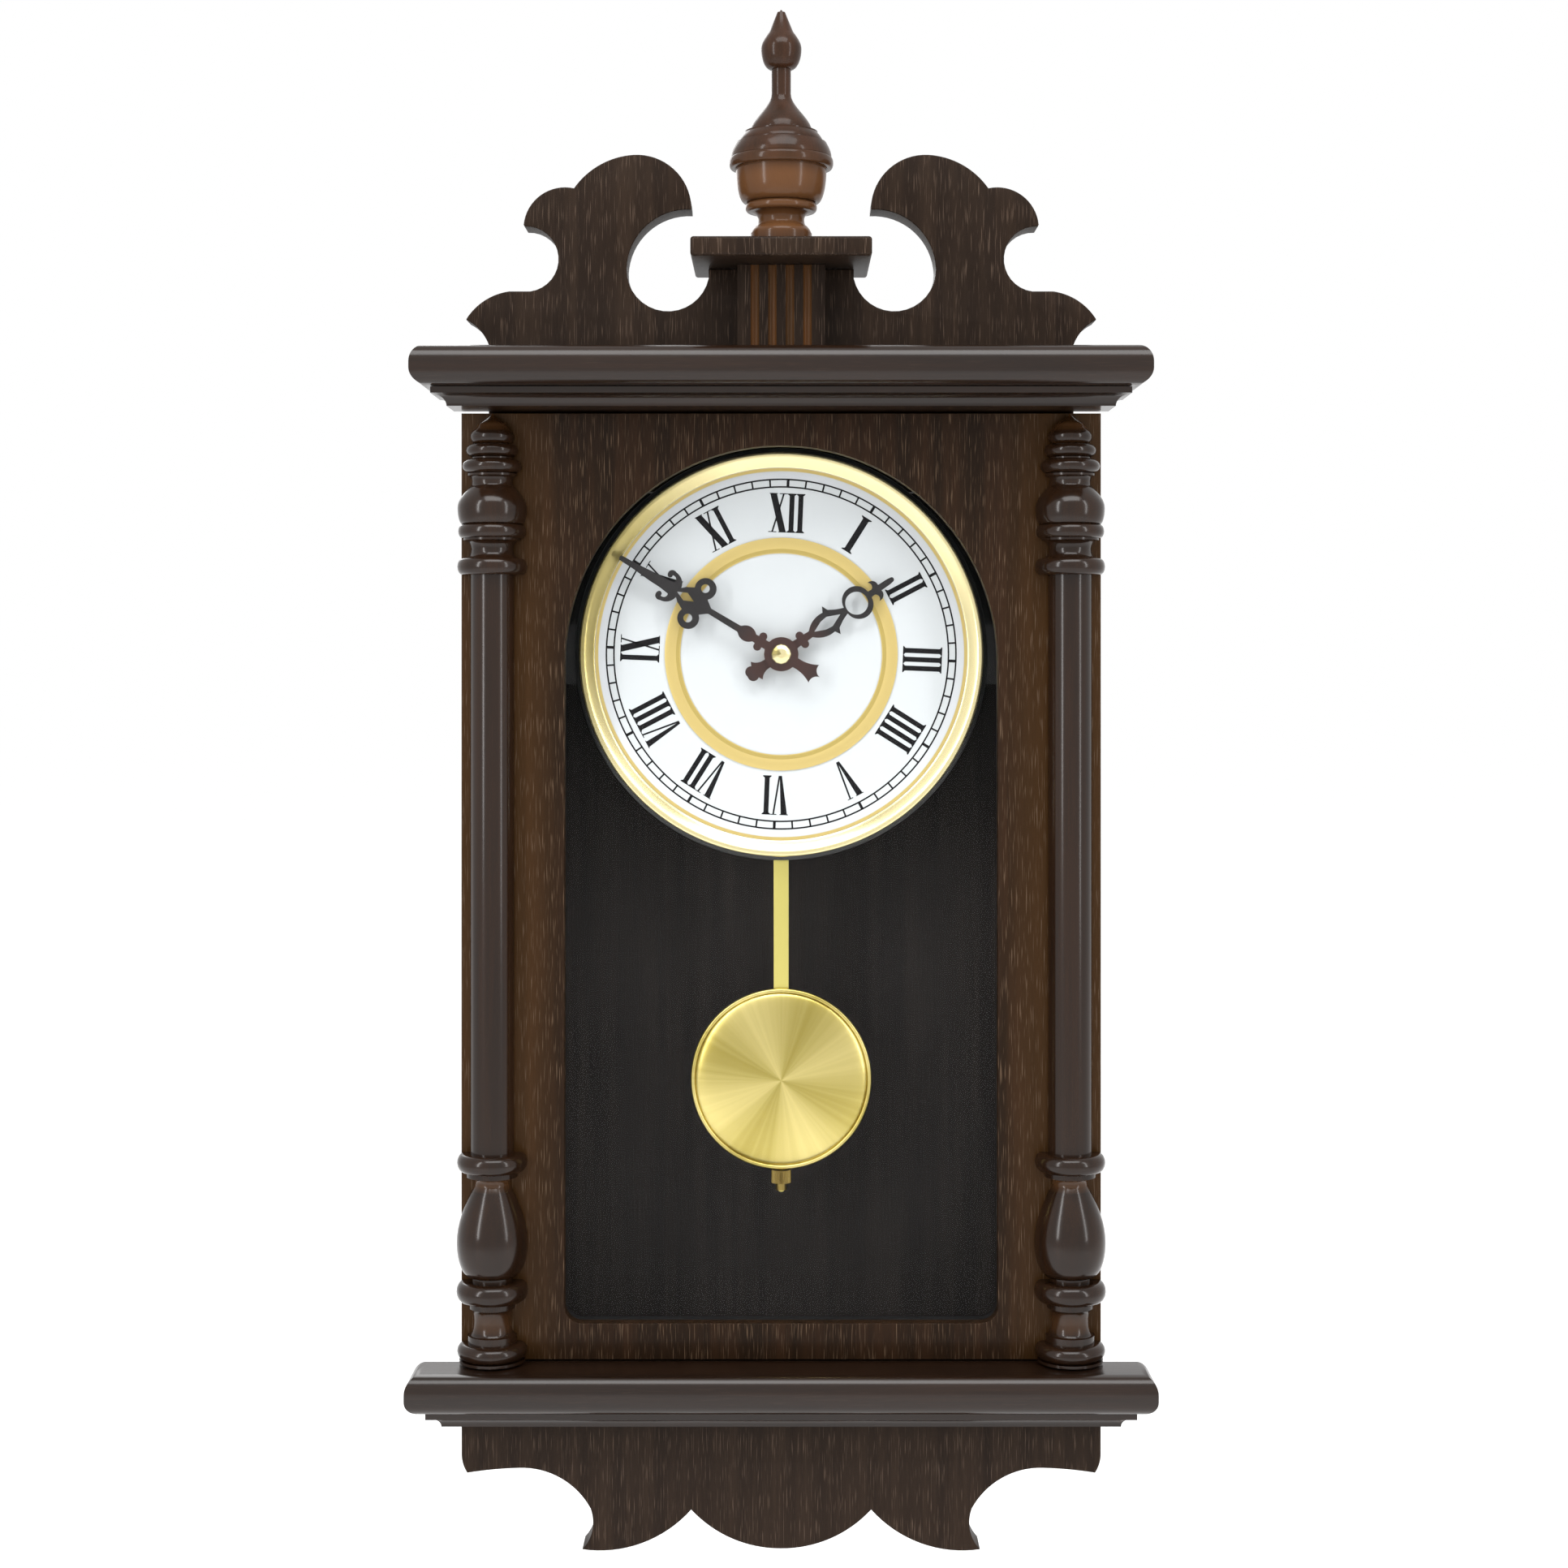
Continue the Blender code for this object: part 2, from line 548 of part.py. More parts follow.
def build_apron():
    """Scalloped board under the base."""
    stretch = FRONT_W / PATTERN_W
    half = trace((-0.1453, -TOUCH), [
        (-0.1453, -0.0423),
        ((-0.1446, -0.0468), (-0.1427, -0.0508)),
        ((-0.1310, -0.0493), (-0.1191, -0.0486)),
        ((-0.0988, -0.0541), (-0.0867, -0.0670)),
        ((-0.0858, -0.0764), (-0.0904, -0.0856)),
        ((-0.0660, -0.0837), (-0.0409, -0.0676)),
        ((-0.0221, -0.0808), (0.0, -0.0852)),
    ])
    outline = [(x * stretch, FRONT_BOTTOM + z) for x, z in mirrored(half)]
    cut_sheet("apron_board", [outline], FRONT_Y, FRONT_Y + BOARD_T, front_wood)


# ================================================================ door
def arched(grow=0.0):
    """Outline of the door's opening, made larger all round by grow."""
    half = OPENING_W / 2 + grow
    corner = SILL_CORNER
    middle = corner * (1 - math.sqrt(0.5))
    low = SILL_Z - grow
    points = [(half * math.cos(math.pi * i / ARCH_STEPS), ARCH_Z + half * math.sin(math.pi * i / ARCH_STEPS))
              for i in range(ARCH_STEPS + 1)]
    points += [(-half, low + corner)]
    points += arc((-half, low + corner), (-half + middle, low + middle), (-half + corner, low), CURVE_STEPS)
    points += [(half - corner, low)]
    points += arc((half - corner, low), (half - middle, low + middle), (half, low + corner), CURVE_STEPS)
    return points


def half_round(name, x):
    """A split turning whose flat back rests on the door's face."""
    members = [
        ("ogee", 0.0060, 0.0004, 0.0070), ("swell", 0.0045, 0.0070, 0.0100),
        ("close", 0.0033, 0.0100, 0.0078),
        ("bead", 0.0062, 0.0085, 0.0118, 0.0093), ("plain", 0.0006, 0.0093, 0.0093),
        ("bead", 0.0068, 0.0093, 0.0135, 0.0112), ("plain", 0.0010, 0.0112, 0.0112),
        ("cove", 0.0050, 0.0110, 0.0093, 0.0103),
        ("swell", 0.0095, 0.0103, 0.0157), ("close", 0.0075, 0.0157, 0.0134),
        ("bead", 0.0062, 0.0134, 0.0154, 0.0130), ("plain", 0.0010, 0.0130, 0.0130),
        ("cove", 0.0082, 0.0128, 0.0096, 0.0127), ("bead", 0.0074, 0.0135, 0.0158, 0.0135),
    ]
    foot = [
        ("bead", 0.0082, 0.0130, 0.0159, 0.0130), ("plain", 0.0024, 0.0116, 0.0116),
        ("cove", 0.0040, 0.0110, 0.0079, 0.0082), ("swell", 0.0260, 0.0082, 0.0161),
        ("close", 0.0152, 0.0161, 0.0099), ("plain", 0.0020, 0.0092, 0.0092),
        ("bead", 0.0092, 0.0130, 0.0162, 0.0130), ("plain", 0.0030, 0.0104, 0.0104),
        ("cove", 0.0122, 0.0100, 0.0085, 0.0106), ("plain", 0.0034, 0.0111, 0.0111),
        ("bead", 0.0074, 0.0125, 0.0159, 0.0140), ("plain", 0.0012, 0.0149, 0.0149),
    ]
    length = DOOR_TOP - DOOR_BOTTOM - 2 * TOUCH
    shaft = length - sum(member[1] for member in members + foot)
    profile = turning(length, members + [("plain", shaft, SHAFT_R, SHAFT_R)] + foot)
    mesh = bpy.data.meshes.new(name)
    form = bmesh.new()
    chain = [form.verts.new((radius, 0, height)) for radius, height in profile]
    edges = [form.edges.new(pair) for pair in zip(chain, chain[1:])]
    bmesh.ops.spin(form, geom=chain + edges, axis=(0, 0, 1), cent=(0, 0, 0), angle=-math.tau,
                   steps=TURNED_STEPS, use_merge=True)
    bmesh.ops.remove_doubles(form, verts=form.verts, dist=0.00001)
    cut = bmesh.ops.bisect_plane(form, geom=form.verts[:] + form.edges[:] + form.faces[:],
                                 plane_co=(0, COLUMN_PROUD - TOUCH, 0), plane_no=(0, 1, 0), clear_outer=True)
    rim = [item for item in cut["geom_cut"] if isinstance(item, bmesh.types.BMEdge)]
    bmesh.ops.contextual_create(form, geom=rim)
    bmesh.ops.recalc_face_normals(form, faces=form.faces)
    form.to_mesh(mesh)
    form.free()
    smooth(mesh)
    add(name, mesh, column_wood, (x, FRONT_Y - COLUMN_PROUD, DOOR_BOTTOM + TOUCH), door)


def build_door():
    """Frame with its rebate, glass, retainer, columns and the magnetic catch."""
    half = FRONT_W / 2
    border = [(-half, DOOR_BOTTOM), (half, DOOR_BOTTOM), (half, DOOR_TOP), (-half, DOOR_TOP)]
    frame = cut_sheet("door_frame", [border, arched()], FRONT_Y, DOOR_BACK, front_wood, axis=door)
    rebate = cut_sheet("glass_rebate", [arched(REBATE)], DOOR_BACK - REBATE_D, DOOR_BACK + 0.01, cutter=True)
    combine(frame, rebate)

    glass_front = DOOR_BACK - REBATE_D + TOUCH
    glass_back = glass_front + GLASS_T
    cut_sheet("glass_pane", [arched(REBATE - 2 * TOUCH)], glass_front, glass_back, clear_glass, axis=door)

    cut_sheet("glass_retainer", [arched(REBATE - TOUCH), arched(RETAINER_BACK)], glass_back + TOUCH,
              DOOR_BACK - TOUCH, black_plastic, axis=door)

    for name, side in (("column_left", -1), ("column_right", 1)):
        half_round(name, side * (half - COLUMN_IN))
    catch_z = (ARCH_Z + SILL_Z) / 2
    box("catch_plate", (-INNER_HALF + 0.0010, DOOR_BACK + TOUCH, catch_z - CATCH_H / 3),
        (-INNER_HALF + CATCH_W, DOOR_BACK + TOUCH + 0.0010, catch_z + CATCH_H / 3), steel, door)
    box("catch_magnet", (-INNER_HALF + TOUCH, CASE_FRONT, catch_z - CATCH_H / 2),
        (-INNER_HALF + CATCH_W, CASE_FRONT + CATCH_D, catch_z + CATCH_H / 2), black_plastic)


def build_hinges():
    """Two butt hinges: a case leaf with the outer knuckles, a door leaf with the middle one, and a pin."""
    third = LEAF_H / 3
    for place, z in (("top", DOOR_TOP - HINGE_IN), ("bottom", DOOR_BOTTOM + HINGE_IN)):
        low, high = z - LEAF_H / 2, z + LEAF_H / 2
        case_leaf = box(f"case_leaf_{place}", (CASE_HALF + TOUCH, HINGE_Y, low),
                        (CASE_HALF + TOUCH + LEAF_T, HINGE_Y + LEAF_W, high), hinge_brass)
        door_leaf = box(f"door_leaf_{place}", (HINGE_X - LEAF_W, DOOR_BACK + TOUCH, low),
                        (HINGE_X, DOOR_BACK + TOUCH + LEAF_T, high), hinge_brass, door)
        spans = {"lower": (low, low + third), "middle": (low + third, high - third),
                 "upper": (high - third, high)}
        for span, (start, end) in spans.items():
            knuckle = cylinder_z(f"knuckle_{place}_{span}", KNUCKLE_R, start, end, HINGE_X, HINGE_Y,
                                 cutter=True, sides=16)
            wider = KNUCKLE_R + TOUCH
            room = box(f"knuckle_room_{place}_{span}", (HINGE_X - wider, HINGE_Y - wider, start - TOUCH),
                       (HINGE_X + wider, HINGE_Y + wider, end + TOUCH), cutter=True)
            own, other = (door_leaf, case_leaf) if span == "middle" else (case_leaf, door_leaf)
            combine(other, room)
            combine(own, knuckle, "UNION")
        for leaf in (case_leaf, door_leaf):
            leaf.modifiers.new("Bore", "BOOLEAN").object = cylinder_z(
                f"pin_bore_{leaf.name}", PIN_R + RUN, low - 0.001, high + 0.001, HINGE_X, HINGE_Y,
                cutter=True, sides=16)
        cylinder_z(f"hinge_pin_{place}", PIN_R, low - TOUCH, high + TOUCH, HINGE_X, HINGE_Y, hinge_brass,
                   sides=16)


# ================================================================ dial
def washer(name, outer, inner, front, back, finish):
    """A flat ring on the dial's axis."""
    inner_steps = ROUND if inner < 2 * BUSH_R else RING_STEPS
    return cut_sheet(name, [circle(outer, RING_STEPS), circle(inner, inner_steps)], front, back, finish,
                     (0, DIAL_Z))


def build_dial():
    """Batten across the case, black pan, white plate, brass ring and bezel."""
    inner = INNER_HALF - TOUCH
    batten = box("dial_batten", (-inner, PAN_BACK + TOUCH, DIAL_Z - BATTEN_H / 2),
                 (inner, PAN_BACK + TOUCH + BATTEN_T, DIAL_Z + BATTEN_H / 2), black_wood)
    combine(batten, cylinder_y("batten_bore", BUSH_R + TOUCH, PAN_BACK, PAN_BACK + OVERRUN, 0, DIAL_Z,
                               cutter=True))
    washer("dial_pan", BEZEL_R + PAN_LIP, BUSH_R + TOUCH, PAN_FRONT, PAN_BACK, pan_black)
    washer("dial_plate", BEZEL_R - BEZEL_SKIRT - TOUCH, BUSH_R + TOUCH, DIAL_FRONT, DIAL_BACK, dial_white)
    washer("dial_ring", RING_R, RING_R - RING_W, DIAL_FRONT - TOUCH - RING_T, DIAL_FRONT - TOUCH, brass)

    back = PAN_FRONT - TOUCH
    inside = DIAL_FRONT - TOUCH
    section_points = [(BEZEL_R, back), (BEZEL_R, back - BEZEL_H + 0.0012), (BEZEL_R - 0.0008, back - BEZEL_H),
                      (BEZEL_R - 0.0020, back - BEZEL_H), (BEZEL_IN + 0.0006, inside - 0.0012),
                      (BEZEL_IN, inside - 0.0012), (BEZEL_IN, inside), (BEZEL_R - BEZEL_SKIRT, inside),
                      (BEZEL_R - BEZEL_SKIRT, back)]
    mesh = bpy.data.meshes.new("bezel")
    form = bmesh.new()
    ring = [form.verts.new((radius, 0, -depth)) for radius, depth in section_points]
    edges = [form.edges.new((ring[i - 1], ring[i])) for i in range(len(ring))]
    bmesh.ops.spin(form, geom=ring + edges, axis=(0, 0, 1), cent=(0, 0, 0), angle=math.tau, steps=RING_STEPS,
                   use_merge=True)
    bmesh.ops.remove_doubles(form, verts=form.verts, dist=0.00001)
    form.transform(Matrix.Rotation(math.radians(90), 4, "X"))
    bmesh.ops.recalc_face_normals(form, faces=form.faces)
    form.to_mesh(mesh)
    form.free()
    smooth(mesh)
    add("bezel", mesh, brass, (0, 0, DIAL_Z))


# ================================================================ hands
def hand(name, half, holes, back, bore, angle, axis):
    """A flat hand drawn pointing up, with its hub at the axis, turned clockwise to its angle."""
    outlines = [mirrored(half), circle(bore, ROUND)] + holes
    return cut_sheet(name, outlines, back - HAND_T, back, hand_black, (0, DIAL_Z), axis, turn=angle)


def build_hands():
    """Two pierced hands, the tube and arbor that carry them, and the nut on top."""
    hub = 0.0079
    hour = trace((0.0, -0.0185), [
        (-0.0022, -0.0160), ((-0.0042, -0.0150), (-0.0058, -0.0165)), (-0.0050, -0.0125), (-0.0022, -0.0095),
        (-0.0020, -hub * 0.96), ((-hub, 0.0), (-0.0020, hub * 0.96)),
        (-0.0018, 0.0100), ((-0.0042, 0.0118), (-0.0018, 0.0136)), (-0.0016, 0.0165),
        ((-0.0048, 0.0215), (-0.0052, 0.0265)), (-0.0078, 0.0280), (-0.0050, 0.0292), (-0.0030, 0.0325),
        (-0.0016, 0.0360), ((-0.0078, 0.0421), (-0.0016, 0.0494)), (-0.0034, 0.0512), (-0.0050, 0.0540),
        (-0.0016, 0.0545), (-0.0012, 0.0600), (0.0, HOUR_LEN)], 5)
    eye = circle(0.0053, 16, 0.0, 0.0421)
    leaf = mirrored([(0.0, 0.0330), (-0.0026, 0.0270), (-0.0022, 0.0235), (0.0, 0.0185)])
    hand("hour_hand", hour, [eye, leaf], HOUR_BACK, HOUR_TUBE_R + 0.0002, HOUR_AT, hour_axis)

    minute = trace((0.0, -0.0240), [
        (-0.0025, -0.0205), ((-0.0050, -0.0190), (-0.0072, -0.0215)), (-0.0062, -0.0165), (-0.0024, -0.0120),
        (-0.0020, -hub * 0.96), ((-hub, 0.0), (-0.0020, hub * 0.96)),
        (-0.0020, 0.0095), ((-0.0046, 0.0112), (-0.0020, 0.0130)), (-0.0018, 0.0145),
        ((-0.0036, 0.0180), (-0.0016, 0.0225)), (-0.0014, 0.0385), (-0.0040, 0.0420),
        ((-0.0129, 0.0455), (-0.0058, 0.0500)), (-0.0040, 0.0540), (-0.0026, 0.0565),
        ((-0.0064, 0.0580), (-0.0070, 0.0635)), ((-0.0046, 0.0612), (-0.0032, 0.0625)), (-0.0022, 0.0700),
        (-0.0010, 0.0790), (0.0, MINUTE_LEN)], 5)
    rings = [circle(0.0020, 12, side * 0.0079, 0.0455) for side in (-1, 1)]
    slot = [(0.0, 0.0470), (0.0020, 0.0515), (0.0, 0.0560), (-0.0020, 0.0515)]
    hand("minute_hand", minute, rings + [slot], MINUTE_BACK, ARBOR_R + 0.0002, MINUTE_AT, minute_axis)

    tube_back = HOUSING_FRONT + HOUSING_WALL + BUSH_FLANGE_T + 0.0030
    tube = cylinder_y("hour_tube", HOUR_TUBE_R, HOUR_FRONT - 0.0006, tube_back, 0, DIAL_Z, brass, hour_axis)
    combine(tube, cylinder_y("arbor_bore", ARBOR_R + 0.0002, HOUR_FRONT - 0.01, tube_back + 0.01, 0, DIAL_Z,
                             cutter=True))
    nut_back = MINUTE_FRONT - TOUCH
    cylinder_y("minute_arbor", ARBOR_R, nut_back - CAP_NUT_T * 0.6, tube_back + 0.0020, 0, DIAL_Z, brass,
               minute_axis)
    nut_profile = [(0, CAP_NUT_T), (CAP_NUT_R * 0.55, CAP_NUT_T * 0.93), (CAP_NUT_R * 0.88, CAP_NUT_T * 0.66),
                   (CAP_NUT_R, CAP_NUT_T * 0.35), (CAP_NUT_R, 0), (0, 0)]
    nut = turned("hand_nut", nut_profile, brass, (0, nut_back, DIAL_Z), along="Y", axis=minute_axis)
    combine(nut, cylinder_y("nut_bore", ARBOR_R + 0.0002, nut_back - CAP_NUT_T * 0.7, nut_back + OVERRUN, 0,
                            DIAL_Z, cutter=True))


# ================================================================ movement
def build_movement():
    """Battery movement: housing, bush, nut, board, coil, cells, speaker, cover and controls."""
    half = HOUSING_W / 2
    wall = HOUSING_WALL
    shell = box("movement_housing", (-half, HOUSING_FRONT, HOUSING_FOOT), (half, HOUSING_BACK, HOUSING_HEAD),
                black_plastic)
    room = box("housing_room", (-half + wall, HOUSING_FRONT + wall, HOUSING_FOOT + wall),
               (half - wall, HOUSING_BACK + 0.01, HOUSING_HEAD - wall), cutter=True)
    bore = cylinder_y("housing_bore", BUSH_R + TOUCH, HOUSING_FRONT - 0.01, HOUSING_FRONT + 0.01, 0, DIAL_Z,
                      cutter=True)
    combine(combine(shell, room), bore)

    flange_back = HOUSING_FRONT + wall + TOUCH + BUSH_FLANGE_T
    length = flange_back - (DIAL_FRONT - NUT_T - 0.0015)
    bush = turned("centre_bush", [(0, length), (BUSH_R, length), (BUSH_R, BUSH_FLANGE_T),
                                  (BUSH_FLANGE_R, BUSH_FLANGE_T), (BUSH_FLANGE_R, 0), (0, 0)], brass,
                  (0, flange_back, DIAL_Z), along="Y")
    combine(bush, cylinder_y("bush_bore", HOUR_TUBE_R + RUN, flange_back - length - OVERRUN,
                             flange_back + OVERRUN, 0, DIAL_Z, cutter=True))
    hexagon = circle(NUT_FLAT / math.sqrt(3), 6)
    cut_sheet("bush_nut", [hexagon, circle(BUSH_R + TOUCH)], DIAL_FRONT - TOUCH - NUT_T, DIAL_FRONT - TOUCH,
              brass, (0, DIAL_Z))

    board_z = DIAL_Z + KNOB_Z
    box("circuit_board", (-half + wall + 0.002, flange_back + TOUCH, board_z - 0.0060),
        (half - wall - 0.002, flange_back + TOUCH + 0.0016, board_z + 0.0120), board_green)
    cell_y = COVER_FRONT - CELL_R - 0.0008
    for i in range(2):
        mesh = round_mesh(f"cell_{i + 1}", CELL_R, CELL_LEN, ROUND, "X")
        cell_z = HOUSING_FOOT + wall + CELL_R + 0.0015 + i * CELL_PITCH
        add(f"cell_{i + 1}", mesh, cell_wrap, (0, cell_y, cell_z))
    cylinder_y("drive_coil", COIL_R, HOUSING_FRONT + wall + TOUCH, cell_y - CELL_R - 0.0010, 0,
               PIVOT_Z + COIL_R, copper)
    depth, rim = SPEAKER_D, 0.0012
    turned("speaker", [(0, depth), (0.0095, depth), (0.0095, depth - 0.0045), (SPEAKER_R - 0.0025, rim),
                       (SPEAKER_R, rim), (SPEAKER_R, 0), (0, 0)], black_plastic,
           (0, COVER_FRONT - TOUCH, DIAL_Z + SPEAKER_Z), along="Y")

    cover = box("movement_cover", (-half, COVER_FRONT, HOUSING_FOOT), (half, COVER_BACK, HOUSING_HEAD),
                black_plastic)
    hatch_half, hatch_low = CELL_LEN / 2 + 0.0015, HOUSING_FOOT + 0.0030
    hatch_high = HOUSING_FOOT + wall + 0.0020 + CELL_PITCH + 2 * CELL_R
    front, back = COVER_FRONT - 0.001, COVER_BACK + 0.001
    combine(cover, box("hatch", (-hatch_half, front, hatch_low), (hatch_half, back, hatch_high), cutter=True))
    knob_at, switch_at = DIAL_Z + KNOB_Z, DIAL_Z + SWITCH_Z
    combine(cover, cylinder_y("knob_bore", KNOB_STEM_R + RUN + TOUCH, front, back, 0, knob_at, cutter=True))
    slide_half, slide_high = 0.0030, 0.0016
    combine(cover, box("switch_slot",
                       (SWITCH_X - slide_half - SWITCH_TRAVEL - TOUCH, front, switch_at - slide_high - TOUCH),
                       (SWITCH_X + slide_half + SWITCH_TRAVEL + TOUCH, back, switch_at + slide_high + TOUCH),
                       cutter=True))
    for i in range(5):
        x = (i - 2) * 0.0065
        high = 0.0140 - abs(i - 2) * 0.0022
        combine(cover, box(f"grille_{i}", (x - 0.0010, front, DIAL_Z + SPEAKER_Z - high),
                           (x + 0.0010, back, DIAL_Z + SPEAKER_Z + high), cutter=True))

    lid_at = (0, COVER_BACK + TOUCH, (hatch_low + hatch_high) / 2)
    box("battery_cover", (-hatch_half - 0.0015, COVER_BACK + TOUCH, hatch_low - 0.0015),
        (hatch_half + 0.0015, COVER_BACK + TOUCH + LID_T, hatch_high + 0.0015), black_plastic,
        joint_axis("battery_cover_slide", lid_at))
    box("chime_switch", (SWITCH_X - slide_half, COVER_FRONT - 0.0050, switch_at - slide_high),
        (SWITCH_X + slide_half, COVER_BACK + 0.0024, switch_at + slide_high), ivory_plastic,
        joint_axis("chime_switch_slide", (SWITCH_X, COVER_BACK, switch_at)))
    turned("set_knob", [(0, KNOB_STEM), (KNOB_STEM_R, KNOB_STEM), (KNOB_STEM_R, 0), (KNOB_R, 0),
                        (KNOB_R, -KNOB_T * 0.8), (KNOB_R * 0.92, -KNOB_T), (0, -KNOB_T)], ivory_plastic,
           (0, COVER_BACK + TOUCH, knob_at), along="Y",
           axis=joint_axis("set_knob_axis", (0, COVER_BACK + TOUCH, knob_at)))


# ================================================================ pendulum
def build_pendulum():
    """Hook on its pin, flat rod, two-part bob that slides on the rod, and the rating nut under it."""
    rod_back = ROD_FRONT + ROD_T
    hook_front = rod_back + TOUCH
    cylinder_y("pivot_pin", PIVOT_R, ROD_FRONT - 0.0010, HOUSING_FRONT - TOUCH, 0, PIVOT_Z, steel, sides=16)
    top, bottom = PIVOT_Z + HOOK_W / 2, PIVOT_Z + HOOK_W / 2 - HOOK_H
    outline = [(-HOOK_W / 2, bottom - PIVOT_Z), (HOOK_W / 2, bottom - PIVOT_Z), (HOOK_W / 2, 0)]
    outline += arc((HOOK_W / 2, 0), (0, top - PIVOT_Z), (-HOOK_W / 2, 0), 10)
    cut_sheet("pendulum_hook", [outline, circle(PIVOT_R + RUN, 16)], hook_front, hook_front + HOOK_T,
              black_plastic, (0, PIVOT_Z), pendulum)

    rod_foot = BOB_Z - BOB_R + 0.0050
    box("pendulum_rod", (-ROD_W / 2, ROD_FRONT, rod_foot), (ROD_W / 2, rod_back, PIVOT_Z - PIVOT_R - 0.0020),
        brass, pendulum)
    nut_low = BOB_Z - BOB_R - TOUCH - RATING_H - 0.0034
    cylinder_z("rating_screw", SCREW_R, nut_low - 0.0008, rod_foot - TOUCH, 0, ROD_MID, brass, pendulum,
               sides=16)

    face = ROD_FRONT - TOUCH
    steps = 6
    turns = [math.pi / 2 * i / steps for i in range(steps)]
    dome = [(BOB_R * math.sin(turn), BOB_RIM + BOB_DOME * math.cos(turn)) for turn in turns]
    front = turned("bob_front", dome + [(BOB_R, BOB_RIM), (BOB_R, 0), (0, 0)], brass, (0, face, BOB_Z),
                   RING_STEPS, "Y", bob)
    back_t = ROD_T + 2 * TOUCH + 0.0020
    back_r = BOB_R - 0.0010
    shell = [(0, back_t), (back_r, back_t), (back_r, BOB_RIM), (back_r - 0.0020, 0), (0, 0)]
    back = turned("bob_back", shell, brass, (0, face + TOUCH + back_t, BOB_Z), RING_STEPS, "Y", bob)
    combine(back, box("rod_groove", (-ROD_W / 2 - TOUCH, face, BOB_Z - BOB_R - 0.01),
                      (ROD_W / 2 + TOUCH, rod_back + TOUCH, BOB_Z + BOB_R + 0.01), cutter=True))
    for half in (front, back):
        combine(half, cylinder_z(f"screw_room_{half.name}", SCREW_R + TOUCH, BOB_Z - BOB_R - 0.01,
                                  rod_foot + 0.0020, 0, ROD_MID, cutter=True, sides=16))

    top = BOB_Z - BOB_R - TOUCH
    nut = turned("rating_nut", [(0, 0), (RATING_R, 0), (RATING_R, -RATING_H), (0.0027, -RATING_H),
                                (0.0027, -RATING_H - 0.0034), (0, -RATING_H - 0.0034)], brass,
                 (0, ROD_MID, top), axis=rating)
    combine(nut, cylinder_z("nut_thread", SCREW_R + RUN, nut_low - 0.01, top + 0.01, 0, ROD_MID, cutter=True,
                            sides=16))


# ================================================================ model
for thing in list(bpy.data.objects):
    bpy.data.objects.remove(thing, do_unlink=True)
clock = bpy.data.collections.new("pendulum_wall_clock")
cutters = bpy.data.collections.new("cutters")
for group in (clock, cutters):
    bpy.context.scene.collection.children.link(group)
axis_at = {}

front_wood = material("Walnut-stained ash", (0.060, 0.034, 0.020), 0.45)
case_wood = material("Walnut-stained wood", (0.045, 0.026, 0.018), 0.38)
column_wood = material("Turned walnut-stained wood", (0.055, 0.032, 0.024), 0.30)
finial_wood = material("Turned beech, light walnut stain", (0.160, 0.075, 0.036), 0.35)
panel_wood = material("Dark stained panel", (0.022, 0.019, 0.017), 0.55)
black_wood = material("Black painted wood", (0.012, 0.012, 0.012), 0.60)
brass = material("Lacquered brass", (0.78, 0.62, 0.25), 0.25, 1.0)
hinge_brass = material("Plated hinge steel", (0.55, 0.44, 0.20), 0.35, 1.0)
steel = material("Zinc-plated steel", (0.55, 0.56, 0.58), 0.35, 1.0)
copper = material("Enamelled copper wire", (0.60, 0.22, 0.08), 0.30, 1.0)
pan_black = material("Black painted steel", (0.015, 0.016, 0.015), 0.35)
dial_white = material("White painted metal", (0.80, 0.83, 0.84), 0.30)
hand_black = material("Black painted aluminium", (0.012, 0.010, 0.010), 0.35)
clear_glass = material("Clear glass", (0.90, 0.94, 0.92), 0.03)
black_plastic = material("Black ABS", (0.020, 0.020, 0.020), 0.50)
ivory_plastic = material("Ivory ABS", (0.72, 0.68, 0.55), 0.45)
cell_wrap = material("Battery sleeve", (0.10, 0.12, 0.16), 0.35)
board_green = material("Circuit board", (0.03, 0.16, 0.07), 0.45)

door = joint_axis("door_axis", (HINGE_X, HINGE_Y, ARCH_Z))
hour_axis = joint_axis("hour_axis", (0, HOUR_BACK, DIAL_Z))
minute_axis = joint_axis("minute_axis", (0, MINUTE_BACK, DIAL_Z))
pendulum = joint_axis("pendulum_axis", (0, ROD_MID, PIVOT_Z))
bob = joint_axis("bob_slide", (0, ROD_MID, BOB_Z), pendulum)
rating = joint_axis("rating_axis", (0, ROD_MID, BOB_Z - BOB_R), bob)

build_case()
build_mouldings()
build_crest()
build_apron()
build_door()
build_hinges()
build_dial()
build_hands()
build_movement()
build_pendulum()
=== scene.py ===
"""Fine model of a wall-hung pendulum clock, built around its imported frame.

Metres, +X right, +Z up, the dial faces -Y and the wall is the plane Y = 0. Sizes come from the frame's own
boxes, so that each fine piece fills the place of the plain piece that it replaces.
"""
import math

import bmesh
import bpy
from mathutils import Matrix, Vector


